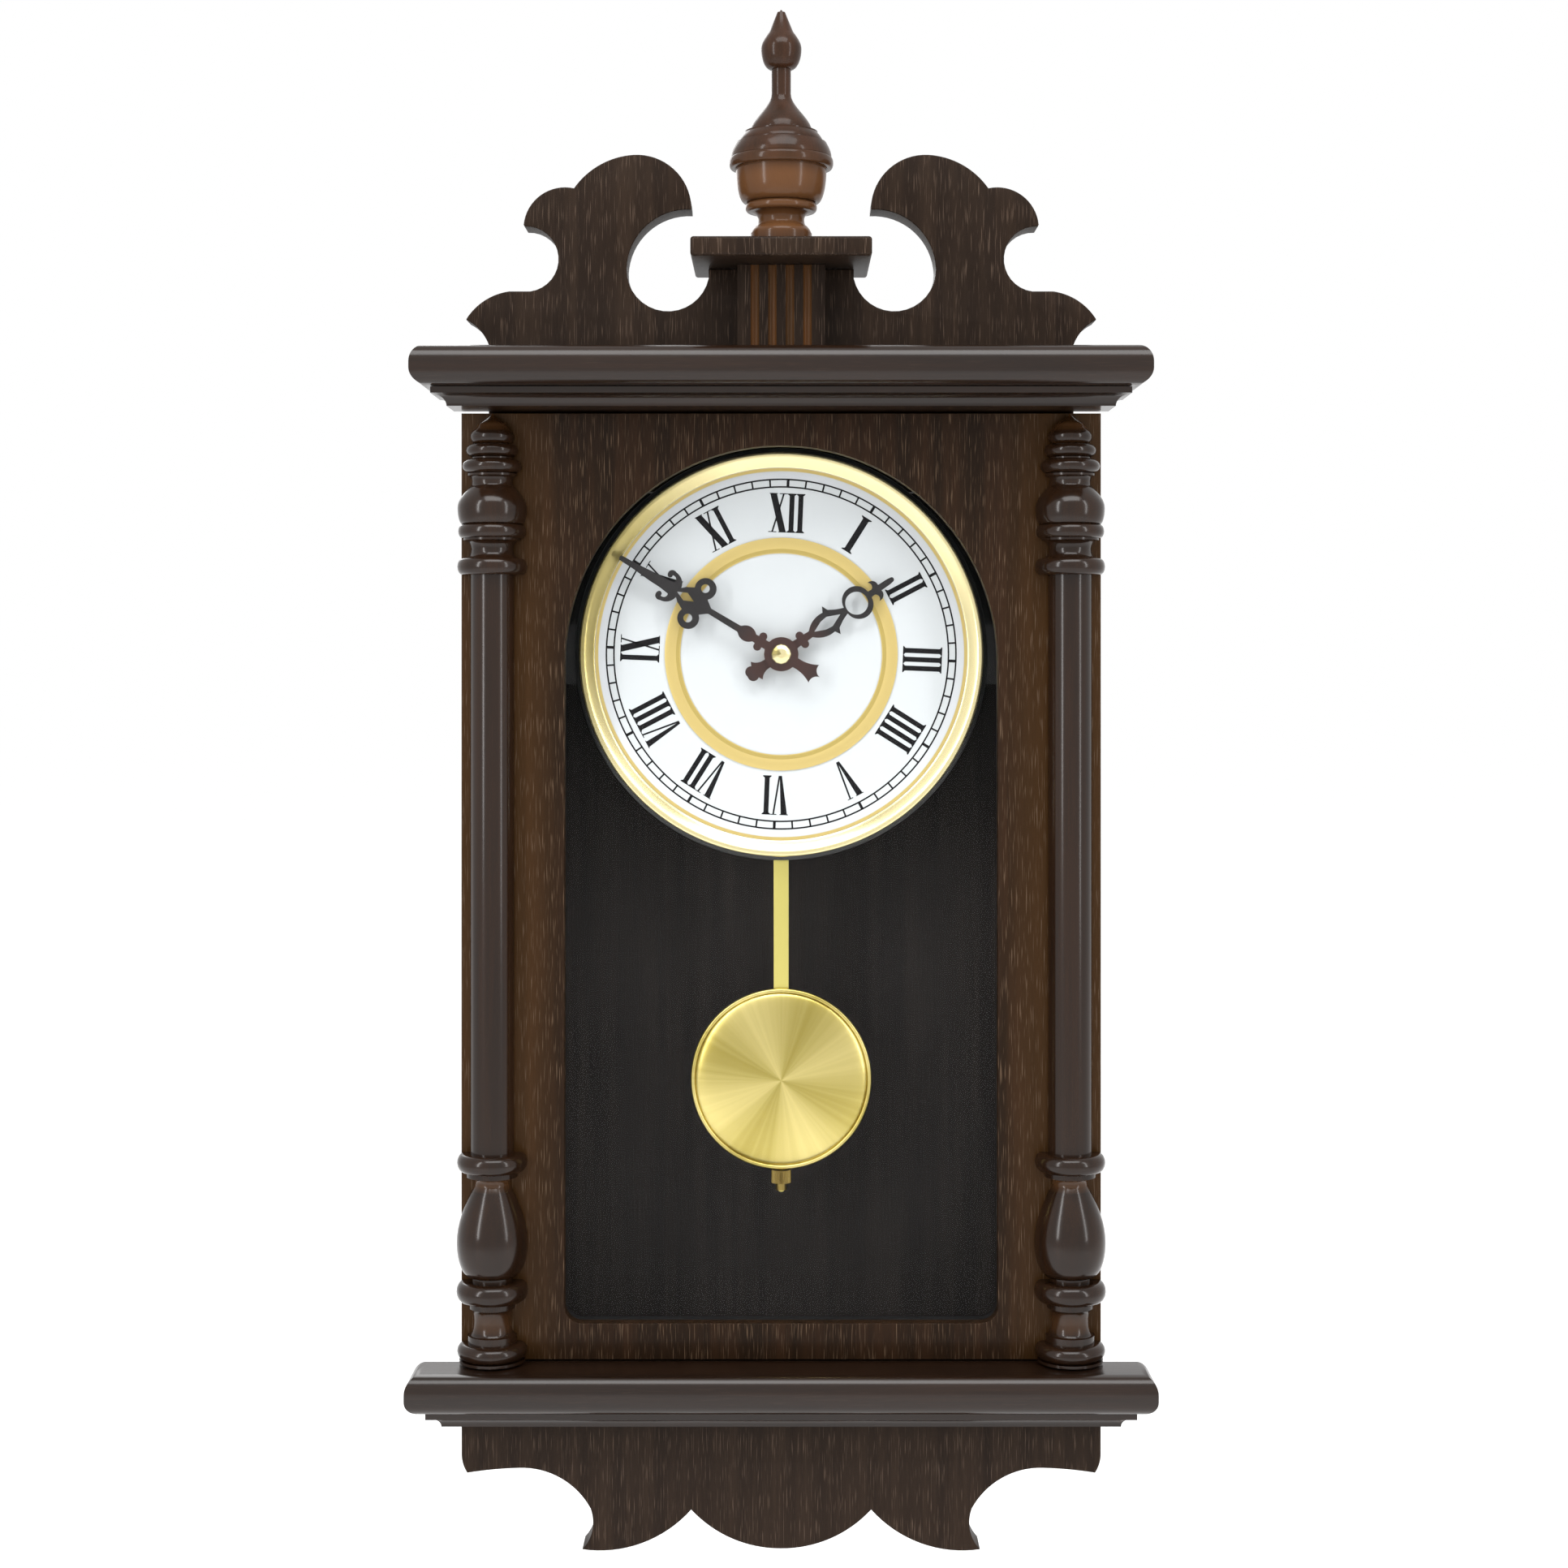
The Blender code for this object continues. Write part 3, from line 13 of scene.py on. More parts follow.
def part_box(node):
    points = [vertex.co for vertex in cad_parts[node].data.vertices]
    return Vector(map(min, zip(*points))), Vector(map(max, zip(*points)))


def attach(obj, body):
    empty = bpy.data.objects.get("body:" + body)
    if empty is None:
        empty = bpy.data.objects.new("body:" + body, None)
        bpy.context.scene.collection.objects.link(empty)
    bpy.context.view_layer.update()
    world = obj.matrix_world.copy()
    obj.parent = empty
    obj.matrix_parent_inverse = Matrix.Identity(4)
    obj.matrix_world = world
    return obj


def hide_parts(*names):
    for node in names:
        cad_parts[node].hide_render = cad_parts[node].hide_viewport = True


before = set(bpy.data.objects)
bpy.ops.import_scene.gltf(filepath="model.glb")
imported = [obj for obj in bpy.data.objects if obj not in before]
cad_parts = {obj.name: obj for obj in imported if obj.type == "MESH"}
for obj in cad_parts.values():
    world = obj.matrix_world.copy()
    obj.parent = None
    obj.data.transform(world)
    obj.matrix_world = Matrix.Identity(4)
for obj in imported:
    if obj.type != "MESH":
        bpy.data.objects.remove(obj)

bl_info = {
    "name": "Pendulum wall clock",
    "version": (1, 0, 0),
    "blender": (4, 5, 0),
    "location": "3D View > Sidebar > Clock",
    "description": "Builds the fine pieces, finishes and studio of a pendulum wall clock",
    "category": "Object",
}

TAU = math.tau
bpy.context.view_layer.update()  # the frame's own size, before anything fine is built
PRINT_T = 0.00005      # ink on the dial
FINE = 0.00001         # merge distance


# ================================================================ sizes taken from the frame
def low(node):
    """Lowest corner of a frame piece."""
    return Vector(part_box(node)[0])


def high(node):
    """Highest corner of a frame piece."""
    return Vector(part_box(node)[1])


FRONT_Y = low("door_frame").y
FRONT_TOP = low("cornice_cove").z
FRONT_BOTTOM = high("base_board").z
FRONT_HALF = high("door_frame").x
DIAL_Z = (low("dial_plate").z + high("dial_plate").z) / 2
DIAL_Y = low("dial_plate").y
BEZEL_R = high("bezel").x
BOB_Z = (low("bob_front").z + high("bob_front").z) / 2
COLUMN_R = 0.0162      # the columns' widest member
COLUMN_X = high("column_right").x - COLUMN_R
COLUMN_Y = FRONT_Y - 0.0020  # the columns' axes stand just in front of the door
SEAT = 0.0003          # gap between a planted piece and the board behind it
ARCH_DROP = 0.0037     # centre of the door's arch below the dial's centre
ARCH_Z = DIAL_Z - ARCH_DROP
OPENING_HALF = 0.0985
BOTTOM_RAIL = 0.0164   # door frame below the opening
SILL_Z = low("door_frame").z + BOTTOM_RAIL
BOWL_DROP = 0.0830     # middle of the finial's bowl below its tip


# ================================================================ settings
class ClockWood(bpy.types.PropertyGroup):
    """Sizes and colours of the case."""
    lip: bpy.props.FloatProperty(name="Door lip", description="Rounding round the glazed opening",
                                 default=0.0016, min=0.0002, max=0.0030, unit="LENGTH")
    edge: bpy.props.FloatProperty(name="Board edge", description="Rounding along the boards' edges",
                                  default=0.0009, min=0.0002, max=0.0020, unit="LENGTH")
    stain: bpy.props.StringProperty(name="Stain", description="Walnut stain as hex", default="#2A1B10")
    stain_deep: bpy.props.StringProperty(name="Deep stain", description="Stain in the late wood, as hex",
                                         default="#1D130B")


class ClockDial(bpy.types.PropertyGroup):
    """Sizes and colours of the dial and hands."""
    numeral_in: bpy.props.FloatProperty(name="Numeral foot", description="Inner radius of the numerals",
                                        default=0.0565, unit="LENGTH")
    numeral_out: bpy.props.FloatProperty(name="Numeral head", description="Outer radius of the numerals",
                                         default=0.0747, unit="LENGTH")
    turn: bpy.props.FloatProperty(name="Dial turn", description="How far the print is turned clockwise",
                                  default=math.radians(2.3), subtype="ANGLE")
    paint: bpy.props.StringProperty(name="Dial paint", description="Dial's white as hex", default="#D2D7D9")
    gold: bpy.props.StringProperty(name="Gold", description="Polished brass as hex", default="#F8EAB2")


class ClockStudio(bpy.types.PropertyGroup):
    """The floor and the light."""
    backdrop: bpy.props.StringProperty(name="Floor", description="Floor's colour as hex", default="#FFFFFF")
    key: bpy.props.FloatProperty(name="Key light", description="Power of the large side light", default=14.0,
                                 unit="POWER")


# ================================================================ modelling tools
def clear_selection():
    """Leave edit mode with nothing selected."""
    if bpy.context.object and bpy.context.object.mode != "OBJECT":
        bpy.ops.object.mode_set(mode="OBJECT")
    bpy.ops.object.select_all(action="DESELECT")


def pick(piece):
    """Make one object the active and only selected one."""
    clear_selection()
    bpy.context.view_layer.objects.active = piece
    piece.select_set(True)


def set_down(piece, name=None):
    """Put the piece's place into its mesh, so that its object sits at the origin."""
    pick(piece)
    bpy.ops.object.transform_apply(location=True, rotation=True, scale=True)
    if name:
        piece.name = piece.data.name = name
    return piece


def apply_all(piece):
    """Apply every modifier of a piece."""
    pick(piece)
    for change in list(piece.modifiers):
        bpy.ops.object.modifier_apply(modifier=change.name)
    return piece


def shade(piece, angle=35):
    """Smooth the round faces and keep the edges."""
    pick(piece)
    bpy.ops.object.shade_smooth_by_angle(angle=math.radians(angle))
    return piece


def tidy_mesh(piece, recalculate=True):
    """Merge doubles and turn the faces outwards."""
    pick(piece)
    bpy.ops.object.mode_set(mode="EDIT")
    bpy.ops.mesh.select_mode(type="VERT")
    bpy.ops.mesh.select_all(action="SELECT")
    bpy.ops.mesh.remove_doubles(threshold=FINE)
    if recalculate:
        bpy.ops.mesh.normals_make_consistent(inside=False)
    bpy.ops.object.mode_set(mode="OBJECT")
    return piece


def block(name, lowest, highest, edge=0.0, segments=3):
    """A cuboid between two corners with eased edges."""
    clear_selection()
    lowest, highest = Vector(lowest), Vector(highest)
    bpy.ops.mesh.primitive_cube_add(size=1.0, location=(lowest + highest) / 2)
    piece = bpy.context.object
    piece.scale = highest - lowest
    set_down(piece, name)
    if edge:
        bpy.ops.object.mode_set(mode="EDIT")
        bpy.ops.mesh.select_all(action="SELECT")
        bpy.ops.mesh.bevel(offset=edge, segments=segments, affect="EDGES")
        bpy.ops.object.mode_set(mode="OBJECT")
    return shade(piece)


def rod(name, radius, start, end, sides=32, edge=0.0):
    """A cylinder between two points with eased ends."""
    clear_selection()
    start, end = Vector(start), Vector(end)
    way = end - start
    bpy.ops.mesh.primitive_cylinder_add(vertices=sides, radius=radius, depth=way.length,
                                        location=(start + end) / 2,
                                        rotation=way.to_track_quat("Z", "Y").to_euler())
    piece = set_down(bpy.context.object, name)
    if edge:
        soften = piece.modifiers.new("Ends", "BEVEL")
        soften.width, soften.segments, soften.angle_limit = edge, 2, math.radians(50)
        apply_all(piece)
    return shade(piece)


def turn(name, profile, at, steps=64, along="Z"):
    """A turned piece: a point is extruded along the profile and the line is spun about its axis."""
    clear_selection()
    bpy.ops.mesh.primitive_plane_add(size=0.001)
    piece = bpy.context.object
    bpy.ops.object.mode_set(mode="EDIT")
    bpy.ops.mesh.select_mode(type="VERT")
    bpy.ops.mesh.select_all(action="SELECT")
    bpy.ops.mesh.merge(type="CENTER")
    bpy.ops.transform.translate(value=(profile[0][0], 0, profile[0][1]))
    for before, after in zip(profile, profile[1:]):
        bpy.ops.mesh.extrude_region_move(
            TRANSFORM_OT_translate={"value": (after[0] - before[0], 0, after[1] - before[1])})
    bpy.ops.mesh.select_all(action="SELECT")
    bpy.ops.mesh.spin(steps=steps, angle=TAU, center=(0, 0, 0), axis=(0, 0, 1))
    bpy.ops.object.mode_set(mode="OBJECT")
    if along == "Y":
        piece.rotation_euler = (math.radians(90), 0, 0)
    piece.location = at
    set_down(piece, name)
    return shade(tidy_mesh(piece))


def cut_out(name, outlines, front, back, turned=0.0, at=(0.0, 0.0)):
    """A flat piece with holes, sawn from sheet: its outlines lie in X and Z between two depths."""
    curve = bpy.data.curves.new(name, "CURVE")
    curve.dimensions = "2D"
    curve.fill_mode = "BOTH"
    curve.extrude = (back - front) / 2
    for outline in outlines:
        line = curve.splines.new("POLY")
        line.points.add(len(outline) - 1)
        for point, (x, z) in zip(line.points, outline):
            point.co = (x, z, 0, 1)
        line.use_cyclic_u = True
    piece = bpy.data.objects.new(name, curve)
    bpy.context.scene.collection.objects.link(piece)
    pick(piece)
    bpy.ops.object.convert(target="MESH")
    piece = bpy.context.object
    upright = Matrix.Rotation(turned, 4, "Y") @ Matrix.Rotation(math.radians(90), 4, "X")
    piece.matrix_world = Matrix.Translation((at[0], (front + back) / 2, at[1])) @ upright
    set_down(piece, name)
    tidy_mesh(piece, recalculate=False)
    bpy.ops.object.mode_set(mode="EDIT")
    bpy.ops.mesh.select_all(action="SELECT")
    bpy.ops.mesh.dissolve_limited(angle_limit=math.radians(0.5))
    bpy.ops.object.mode_set(mode="OBJECT")
    return piece


def ease(piece, wanted, width, segments=3):
    """Round the sharp edges whose two ends both satisfy a test of their place."""
    pick(piece)
    bpy.ops.object.mode_set(mode="EDIT")
    bpy.ops.mesh.select_mode(type="EDGE")
    bpy.ops.mesh.select_all(action="DESELECT")
    form = bmesh.from_edit_mesh(piece.data)
    for edge in form.edges:
        sharp = edge.is_manifold and edge.calc_face_angle(0.0) > math.radians(40)
        edge.select_set(sharp and all(wanted(vertex.co) for vertex in edge.verts))
    bmesh.update_edit_mesh(piece.data)
    bpy.ops.mesh.bevel(offset=width, segments=segments, affect="EDGES", clamp_overlap=True)
    bpy.ops.object.mode_set(mode="OBJECT")
    return piece


def join(name, pieces):
    """Join pieces into one object."""
    clear_selection()
    for piece in pieces:
        piece.select_set(True)
    bpy.context.view_layer.objects.active = pieces[0]
    if len(pieces) > 1:
        bpy.ops.object.join()
    joined = bpy.context.object
    joined.name = joined.data.name = name
    return joined


def combine(piece, tools, how="DIFFERENCE"):
    """Cut or join a piece with tools, which are then removed."""
    for tool in tools:
        change = piece.modifiers.new("Cut", "BOOLEAN")
        change.operation, change.object, change.solver = how, tool, "EXACT"
        apply_all(piece)
        bpy.data.objects.remove(tool, do_unlink=True)
    return piece


def hand_over(piece, body, finish, slot, *nodes):
    """Give a finished piece its material, its body and the frame pieces it stands for."""
    piece.data.materials.clear()
    piece.data.materials.append(finish)
    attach(piece, body)
    if nodes:
        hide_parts(*nodes)
    return piece


def paint_frame(looks, **nodes):
    """Give frame pieces that stay as they are their finishes."""
    for node, look in nodes.items():
        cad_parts[node].data.materials.clear()
        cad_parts[node].data.materials.append(looks[look])


# ================================================================ outlines
def arc(start, middle, end, steps):
    """Points of the arc through three points, without its first point."""
    a, b, c = Vector(start), Vector(middle), Vector(end)
    ab, ac = b - a, c - a
    cross = 2 * (ab.x * ac.y - ab.y * ac.x)
    centre = a + Vector((ac.y * ab.length_squared - ab.y * ac.length_squared,
                         ab.x * ac.length_squared - ac.x * ab.length_squared)) / cross
    first = math.atan2(a.y - centre.y, a.x - centre.x)
    sweep = (math.atan2(c.y - centre.y, c.x - centre.x) - first) % TAU
    if cross < 0:
        sweep -= TAU
    radius = (a - centre).length
    return [(centre.x + radius * math.cos(first + sweep * i / steps),
             centre.y + radius * math.sin(first + sweep * i / steps)) for i in range(1, steps + 1)]


def trace(start, moves, steps=16):
    """An outline from a start and moves: a point is a straight line, two points are an arc."""
    points = [start]
    for move in moves:
        if isinstance(move[0], tuple):
            points += arc(points[-1], move[0], move[1], steps)
        else:
            points.append(move)
    return points


def mirrored(half):
    """Close a half outline with its mirror image."""
    return half + [(-x, z) for x, z in reversed(half) if abs(x) > 1e-6]


def circle(radius, steps=96, x=0.0, z=0.0):
    """Points round a circle."""
    return [(x + radius * math.cos(TAU * i / steps), z + radius * math.sin(TAU * i / steps))
            for i in range(steps)]


def arched(grow=0.0, steps=96):
    """Outline of the door's opening, made larger all round by grow."""
    half, foot, corner = OPENING_HALF + grow, SILL_Z - grow, 0.0080
    middle = corner * (1 - math.sqrt(0.5))
    points = [(half * math.cos(math.pi * i / steps), ARCH_Z + half * math.sin(math.pi * i / steps))
              for i in range(steps + 1)]
    points += [(-half, foot + corner)]
    points += arc((-half, foot + corner), (-half + middle, foot + middle), (-half + corner, foot), 10)
    points += [(half - corner, foot)]
    points += arc((half - corner, foot), (half - middle, foot + middle), (half, foot + corner), 10)
    return points[:-1] if math.dist(points[-1], points[0]) < FINE else points


def member(kind, height, radii, steps=10):
    """Radii down one turned member, as pairs of radius and depth below its top."""
    points = []
    steps = 1 if kind == "plain" else steps
    for i in range(steps + 1):
        t = i / steps
        half_turn = math.pi * t
        down = t
        if kind == "plain":
            radius = radii[0] + (radii[-1] - radii[0]) * t
        elif kind == "bead":
            radius = radii[0] + (radii[1] - radii[0]) * math.sin(half_turn)
            down = (1 - math.cos(half_turn)) / 2
        elif kind == "cove":
            edge = radii[0] if t < 0.5 else radii[2]
            radius, down = edge - (edge - radii[1]) * math.sin(half_turn), (1 - math.cos(half_turn)) / 2
        elif kind == "swell":
            radius = radii[0] + (radii[1] - radii[0]) * math.sin(half_turn / 2)
        elif kind == "close":
            radius, down = radii[1] + (radii[0] - radii[1]) * math.cos(half_turn / 2), math.sin(half_turn / 2)
        else:
            radius = radii[0] + (radii[1] - radii[0]) * (3 * t ** 2 - 2 * t ** 3)
        points.append((radius, height * down))
    return points


def turning(top, members, steps=10):
    """A turned profile from its top and its members, closed on the axis at both ends."""
    profile = [(0.0, top)]
    height = top
    for kind, length, *radii in members:
        for radius, down in member(kind, length, radii, steps):
            if math.dist((radius, height - down), profile[-1]) > 0.00004:
                profile.append((radius, height - down))
        height -= length
    return profile + [(0.0, height)]


# ================================================================ finishes
def colour(code):
    """A hex colour in sRGB as the linear colour that a shader takes."""
    channels = [int(code[i:i + 2], 16) / 255 for i in (1, 3, 5)]
    return (*(c / 12.92 if c <= 0.04045 else ((c + 0.055) / 1.055) ** 2.4 for c in channels), 1.0)


def add_node(tree, kind, inputs=None, links=None, **settings):
    """Add a node with its settings, its input values and the sockets linked into it."""
    node = tree.nodes.new(kind)
    for name, value in settings.items():
        setattr(node, name, value)
    for name, value in (inputs or {}).items():
        node.inputs[name].default_value = value
    for name, socket in (links or {}).items():
        tree.links.new(socket, node.inputs[name])
    return node


def finish(name, code, roughness, metallic=0.0, **inputs):
    """A plain Principled finish. Further inputs are given by their names with underscores."""
    made = bpy.data.materials.new(name)
    made.use_nodes = True
    shader = made.node_tree.nodes["Principled BSDF"]
    shader.inputs["Base Color"].default_value = colour(code)
    shader.inputs["Roughness"].default_value = roughness
    shader.inputs["Metallic"].default_value = metallic
    for key, value in inputs.items():
        shader.inputs[key.replace("_", " ")].default_value = value
    return made, made.node_tree, shader


def blend_colours(tree, share, first, second):
    """Mix two colours; each is a hex code or a socket."""
    mix = add_node(tree, "ShaderNodeMix", data_type="RGBA")
    tree.links.new(share, mix.inputs[0])
    for socket, value in ((mix.inputs[6], first), (mix.inputs[7], second)):
        if isinstance(value, str):
            socket.default_value = colour(value)
        else:
            tree.links.new(value, socket)
    return mix.outputs[2]


def band(tree, value, start, end, to_start=0.0, to_end=1.0):
    """Map a range of a value onto another, clamped."""
    mapped = add_node(tree, "ShaderNodeMapRange", {1: start, 2: end, 3: to_start, 4: to_end}, {0: value})
    return mapped.outputs[0]


def grain_noise(tree, across, along, grain, detail=2.0, centre=(0, 0, 0)):
    """Noise drawn out along the grain: its cells are across by across by along, in metres."""
    place = add_node(tree, "ShaderNodeTexCoord").outputs["Object"]
    scale = {"X": (1 / along, 1 / across, 1 / across), "Y": (1 / across, 1 / along, 1 / across),
             "Z": (1 / across, 1 / across, 1 / along)}[grain]
    mapped = add_node(tree, "ShaderNodeMapping", {"Scale": scale, "Location": centre}, {"Vector": place})
    return add_node(tree, "ShaderNodeTexNoise", {"Scale": 1.0, "Detail": detail, "Roughness": 0.55},
                    {"Vector": mapped.outputs[0]}).outputs[0]


def stained_wood(name, light, deep, pore, grain="Z", pores=1.0, roughness=0.42, coat=0.04, gloss=0.13,
                 warm=None):
    """Wood under a walnut stain and satin lacquer: soft figure, darker late wood and short open pores.

    The figure's bands are 7 mm wide and 160 mm long, and the pores 0.45 mm by 13 mm. Warm is a function that
    gives a share and a colour for a lighter, warmer tone: painted warm light beside the columns and in their
    necks, and the lighter bowl of the finial's urn.
    """
    made, tree, shader = finish(name, light, roughness, Coat_Weight=coat, Coat_Roughness=gloss,
                                Specular_IOR_Level=0.06)
    figure = grain_noise(tree, 0.0070, 0.1600, grain, 3.0)
    streak = grain_noise(tree, 0.0016, 0.0600, grain, 2.0, (3, 5, 7))
    body = blend_colours(tree, band(tree, figure, 0.36, 0.64), deep, light)
    body = blend_colours(tree, band(tree, streak, 0.50, 0.72, 0.0, 0.55), body, deep)
    if warm:
        share, code = warm(tree)
        body = blend_colours(tree, share, body, code)
    cells = grain_noise(tree, 0.00045, 0.0130, grain, 1.0, (11, 13, 17))
    dash = band(tree, cells, 0.59, 0.72, 0.0, pores)
    body = blend_colours(tree, dash, body, pore)
    tree.links.new(body, shader.inputs["Base Color"])
    bump = add_node(tree, "ShaderNodeBump", {"Strength": 0.30 * min(1.0, pores + 0.2), "Distance": 0.0003},
                    {"Height": cells}, invert=True)
    tree.links.new(bump.outputs[0], shader.inputs["Normal"])
    return made


def distance_from(tree, x, y):
    """Distance in plan from the nearer of two upright axes at plus and minus x."""
    place = add_node(tree, "ShaderNodeSeparateXYZ",
                     links={0: add_node(tree, "ShaderNodeTexCoord").outputs["Object"]})
    side = add_node(tree, "ShaderNodeMath", links={0: place.outputs[0]}, operation="ABSOLUTE").outputs[0]
    flat = add_node(tree, "ShaderNodeCombineXYZ", links={0: side, 1: place.outputs[1]}).outputs[0]
    away = add_node(tree, "ShaderNodeVectorMath", {1: (x, y, 0)}, {0: flat}, operation="DISTANCE")
    return away.outputs["Value"]


def painted_glow_beside_columns(tree):
    """Painted warm light: the stiles are coloured lighter and warmer near the columns, for the glow beside
    them.
    """
    away = distance_from(tree, COLUMN_X, FRONT_Y)
    # Painted warm light: rising to 60% of #40290F from 32 mm to 12 mm from the columns' axes.
    return band(tree, away, 0.032, 0.012, 0.0, 0.60), "#40290F"


def painted_glow_in_necks(tree):
    """Painted warm light: the narrow necks of a column are coloured lighter and warmer, for the glow in these
    recesses.
    """
    away = distance_from(tree, COLUMN_X, COLUMN_Y)
    # Painted warm light: up to 60% of #50341C where the column's radius falls from 9.4 mm to 8 mm.
    return band(tree, away, 0.0094, 0.0080, 0.0, 0.60), "#50341C"


def lighter_urn_bowl(tree):
    """The bowl of the finial's urn is lighter than its shoulders and spindle."""
    middle = (low("finial") + high("finial")) / 2
    bowl = (middle.x, middle.y, high("finial").z - BOWL_DROP)
    away = add_node(tree, "ShaderNodeVectorMath", {1: bowl},
                    {0: add_node(tree, "ShaderNodeTexCoord").outputs["Object"]},
                    operation="DISTANCE").outputs["Value"]
    return band(tree, away, 0.0290, 0.0210, 0.0, 0.90), "#5C3C23"


def make_finishes():
    """Every finish of the clock, by a short key."""
    wood, dial = bpy.context.scene.clock_wood, bpy.context.scene.clock_dial
    made = {}
    # Open-grained ash veneer under walnut stain: dark, satin, with short pale pores that run up the board.
    # The door's warmer tone beside the columns is painted warm light.
    made["front"] = stained_wood("Walnut-stained ash", wood.stain, wood.stain_deep, "#544334",
                                 warm=painted_glow_beside_columns)
    made["crest"] = stained_wood("Walnut-stained ash, crest", "#2A1F17", "#1F1610", "#54453A", pores=0.7)
    # Painted light: the flutes' grooves get a lighter, warmer copy of the stain, for the light caught in
    # them.
    made["groove"] = stained_wood("Walnut-stained ash, groove", "#5C3A1E", "#46301C", "#6B5240", pores=0.3)
    # Planed mouldings, sanded and sprayed: the grain runs along them and hardly shows under smoother lacquer.
    made["moulding"] = stained_wood("Walnut-stained moulding", "#21140C", "#190F09", "#38291F", grain="X",
                                    pores=0.20, roughness=0.28, coat=0.60, gloss=0.16)
    made["case"] = stained_wood("Walnut-stained case", "#35241B", "#261A14", "#5E4D42", pores=0.45)
    made["case_flat"] = stained_wood("Walnut-stained case, flat", "#35241B", "#261A14", "#5E4D42", grain="X",
                                     pores=0.45)
    # Turned beech under the same stain: close grain, semi-gloss, with painted warm light in the columns'
    # narrow necks and a lighter bowl on the finial's urn.
    made["column"] = stained_wood("Turned walnut-stained beech", "#24150B", "#1B1009", "#33251B", pores=0.10,
                                  roughness=0.24, coat=0.50, gloss=0.16, warm=painted_glow_in_necks)
    made["finial"] = stained_wood("Turned beech, light stain", "#372216", "#2B1B11", "#5A4230", pores=0.15,
                                  roughness=0.30, coat=0.25, warm=lighter_urn_bowl)
    # Thin dark panel behind the pendulum: nearly black, with a faint vertical grain.
    made["panel"] = stained_wood("Dark-stained ply", "#2D2927", "#262322", "#383330", pores=0.25,
                                 roughness=0.60, coat=0.0)
    made["black_wood"] = finish("Black emulsion on pine", "#141414", 0.65)[0]
    # Stove enamel on spun steel: smooth, black, with soft highlights at its rim.
    made["pan"] = finish("Black enamel on steel", "#191A18", 0.32, Coat_Weight=0.2)[0]
    # Sprayed satin white on sheet metal: cool and even.
    made["dial"] = finish("Satin white paint", dial.paint, 0.38)[0]
    made["rim"] = finish("Silver-grey dial print", "#D6DADE", 0.40)[0]
    made["ink"] = finish("Black dial print", "#0B0A0D", 0.45, Specular_IOR_Level=0.2)[0]
    # Brass, spun and lacquered: a bright sweep of highlight that follows the ring, and painted shade on its
    # upper-left side.
    made["brass"] = make_spun_brass(dial.gold)
    made["ring"] = finish("Gold foil on the dial", "#D6BF78", 0.40, 0.5)[0]
    # Painted shade: a darker copy of the gold foil for the dial ring's inner step.
    made["ring_deep"] = finish("Gold foil, painted shade on the inner step", "#C0AA60", 0.42, 0.5)[0]
    made["rod"] = finish("Rolled brass strip", "#E0D479", 0.30, 0.8)[0]
    made["bob"] = make_brushed_brass()
    made["nut"] = finish("Turned brass, aged", "#8F7B45", 0.34, 1.0)[0]
    # Stamped aluminium under black paint: thin, flat, with a satin edge.
    made["hand"] = make_hand_paint()
    made["hinge"] = finish("Brass-plated steel", "#B29A58", 0.30, 1.0)[0]
    made["zinc"] = finish("Zinc-plated steel", "#B9BCC0", 0.34, 1.0)[0]
    # Float glass, 2 mm: clear, with only a thin sheen.
    made["glass"] = finish("Float glass", "#0C1110", 0.02, Alpha=0.05)[0]
    # Moulded ABS: a fine spark-eroded texture that scatters the light.
    made["abs"] = finish("Moulded black ABS", "#1E1E1F", 0.52)[0]
    made["ivory"] = finish("Moulded ivory ABS", "#DED6BE", 0.45)[0]
    made["cell"] = finish("Printed battery sleeve", "#2B3440", 0.30)[0]
    made["board"] = finish("Green solder mask", "#1F6B3D", 0.40)[0]
    made["copper"] = finish("Enamelled copper wire", "#B5622F", 0.30, 1.0)[0]
    return made


def angle_about(tree, height):
    """Place from the dial's or bob's centre, as separate parts, and the angle round it."""
    place = add_node(tree, "ShaderNodeMapping", {"Location": (0, 0, -height)},
                     {"Vector": add_node(tree, "ShaderNodeTexCoord").outputs["Object"]}).outputs[0]
    parts = add_node(tree, "ShaderNodeSeparateXYZ", links={0: place})
    return parts, add_node(tree, "ShaderNodeMath", links={0: parts.outputs[2], 1: parts.outputs[0]},
                           operation="ARCTAN2").outputs[0]


def make_spun_brass(code):
    """Spun and lacquered brass: pale, with painted shade that darkens one side, round 160 degrees, to the
    upper left.
    """
    made, tree, shader = finish("Spun brass, lacquered", code, 0.26, 0.9, Anisotropic=0.35, Coat_Weight=0.3)
    angle = angle_about(tree, DIAL_Z)[1]
    # Painted shade: up to 90% of #9C8E50 on the side round 160 degrees from the dial's right.
    turned = add_node(tree, "ShaderNodeMath", {1: -2.8}, {0: angle}, operation="ADD").outputs[0]
    painted_shade_side = add_node(tree, "ShaderNodeMath", links={0: turned}, operation="COSINE").outputs[0]
    tree.links.new(blend_colours(tree, band(tree, painted_shade_side, 0.55, 0.95, 0.0, 0.9), code, "#9C8E50"),
                   shader.inputs["Base Color"])
    return made


def make_hand_paint():
    """Satin black paint on aluminium, with a painted red-brown reflection on the hub and tails."""
    made, tree, shader = finish("Satin black paint on aluminium", "#1B1819", 0.34)
    place = add_node(tree, "ShaderNodeTexCoord").outputs["Object"]
    flat = add_node(tree, "ShaderNodeVectorMath", {1: (1, 0, 1)}, {0: place}, operation="MULTIPLY").outputs[0]
    away = add_node(tree, "ShaderNodeVectorMath", {1: (0, 0, DIAL_Z)}, {0: flat},
                    operation="DISTANCE").outputs["Value"]
    # Painted reflection: #38201B within 14 mm of the dial's centre, fading to black by 26 mm.
    tree.links.new(blend_colours(tree, band(tree, away, 0.014, 0.026), "#38201B", "#1B1819"),
                   shader.inputs["Base Color"])
    return made


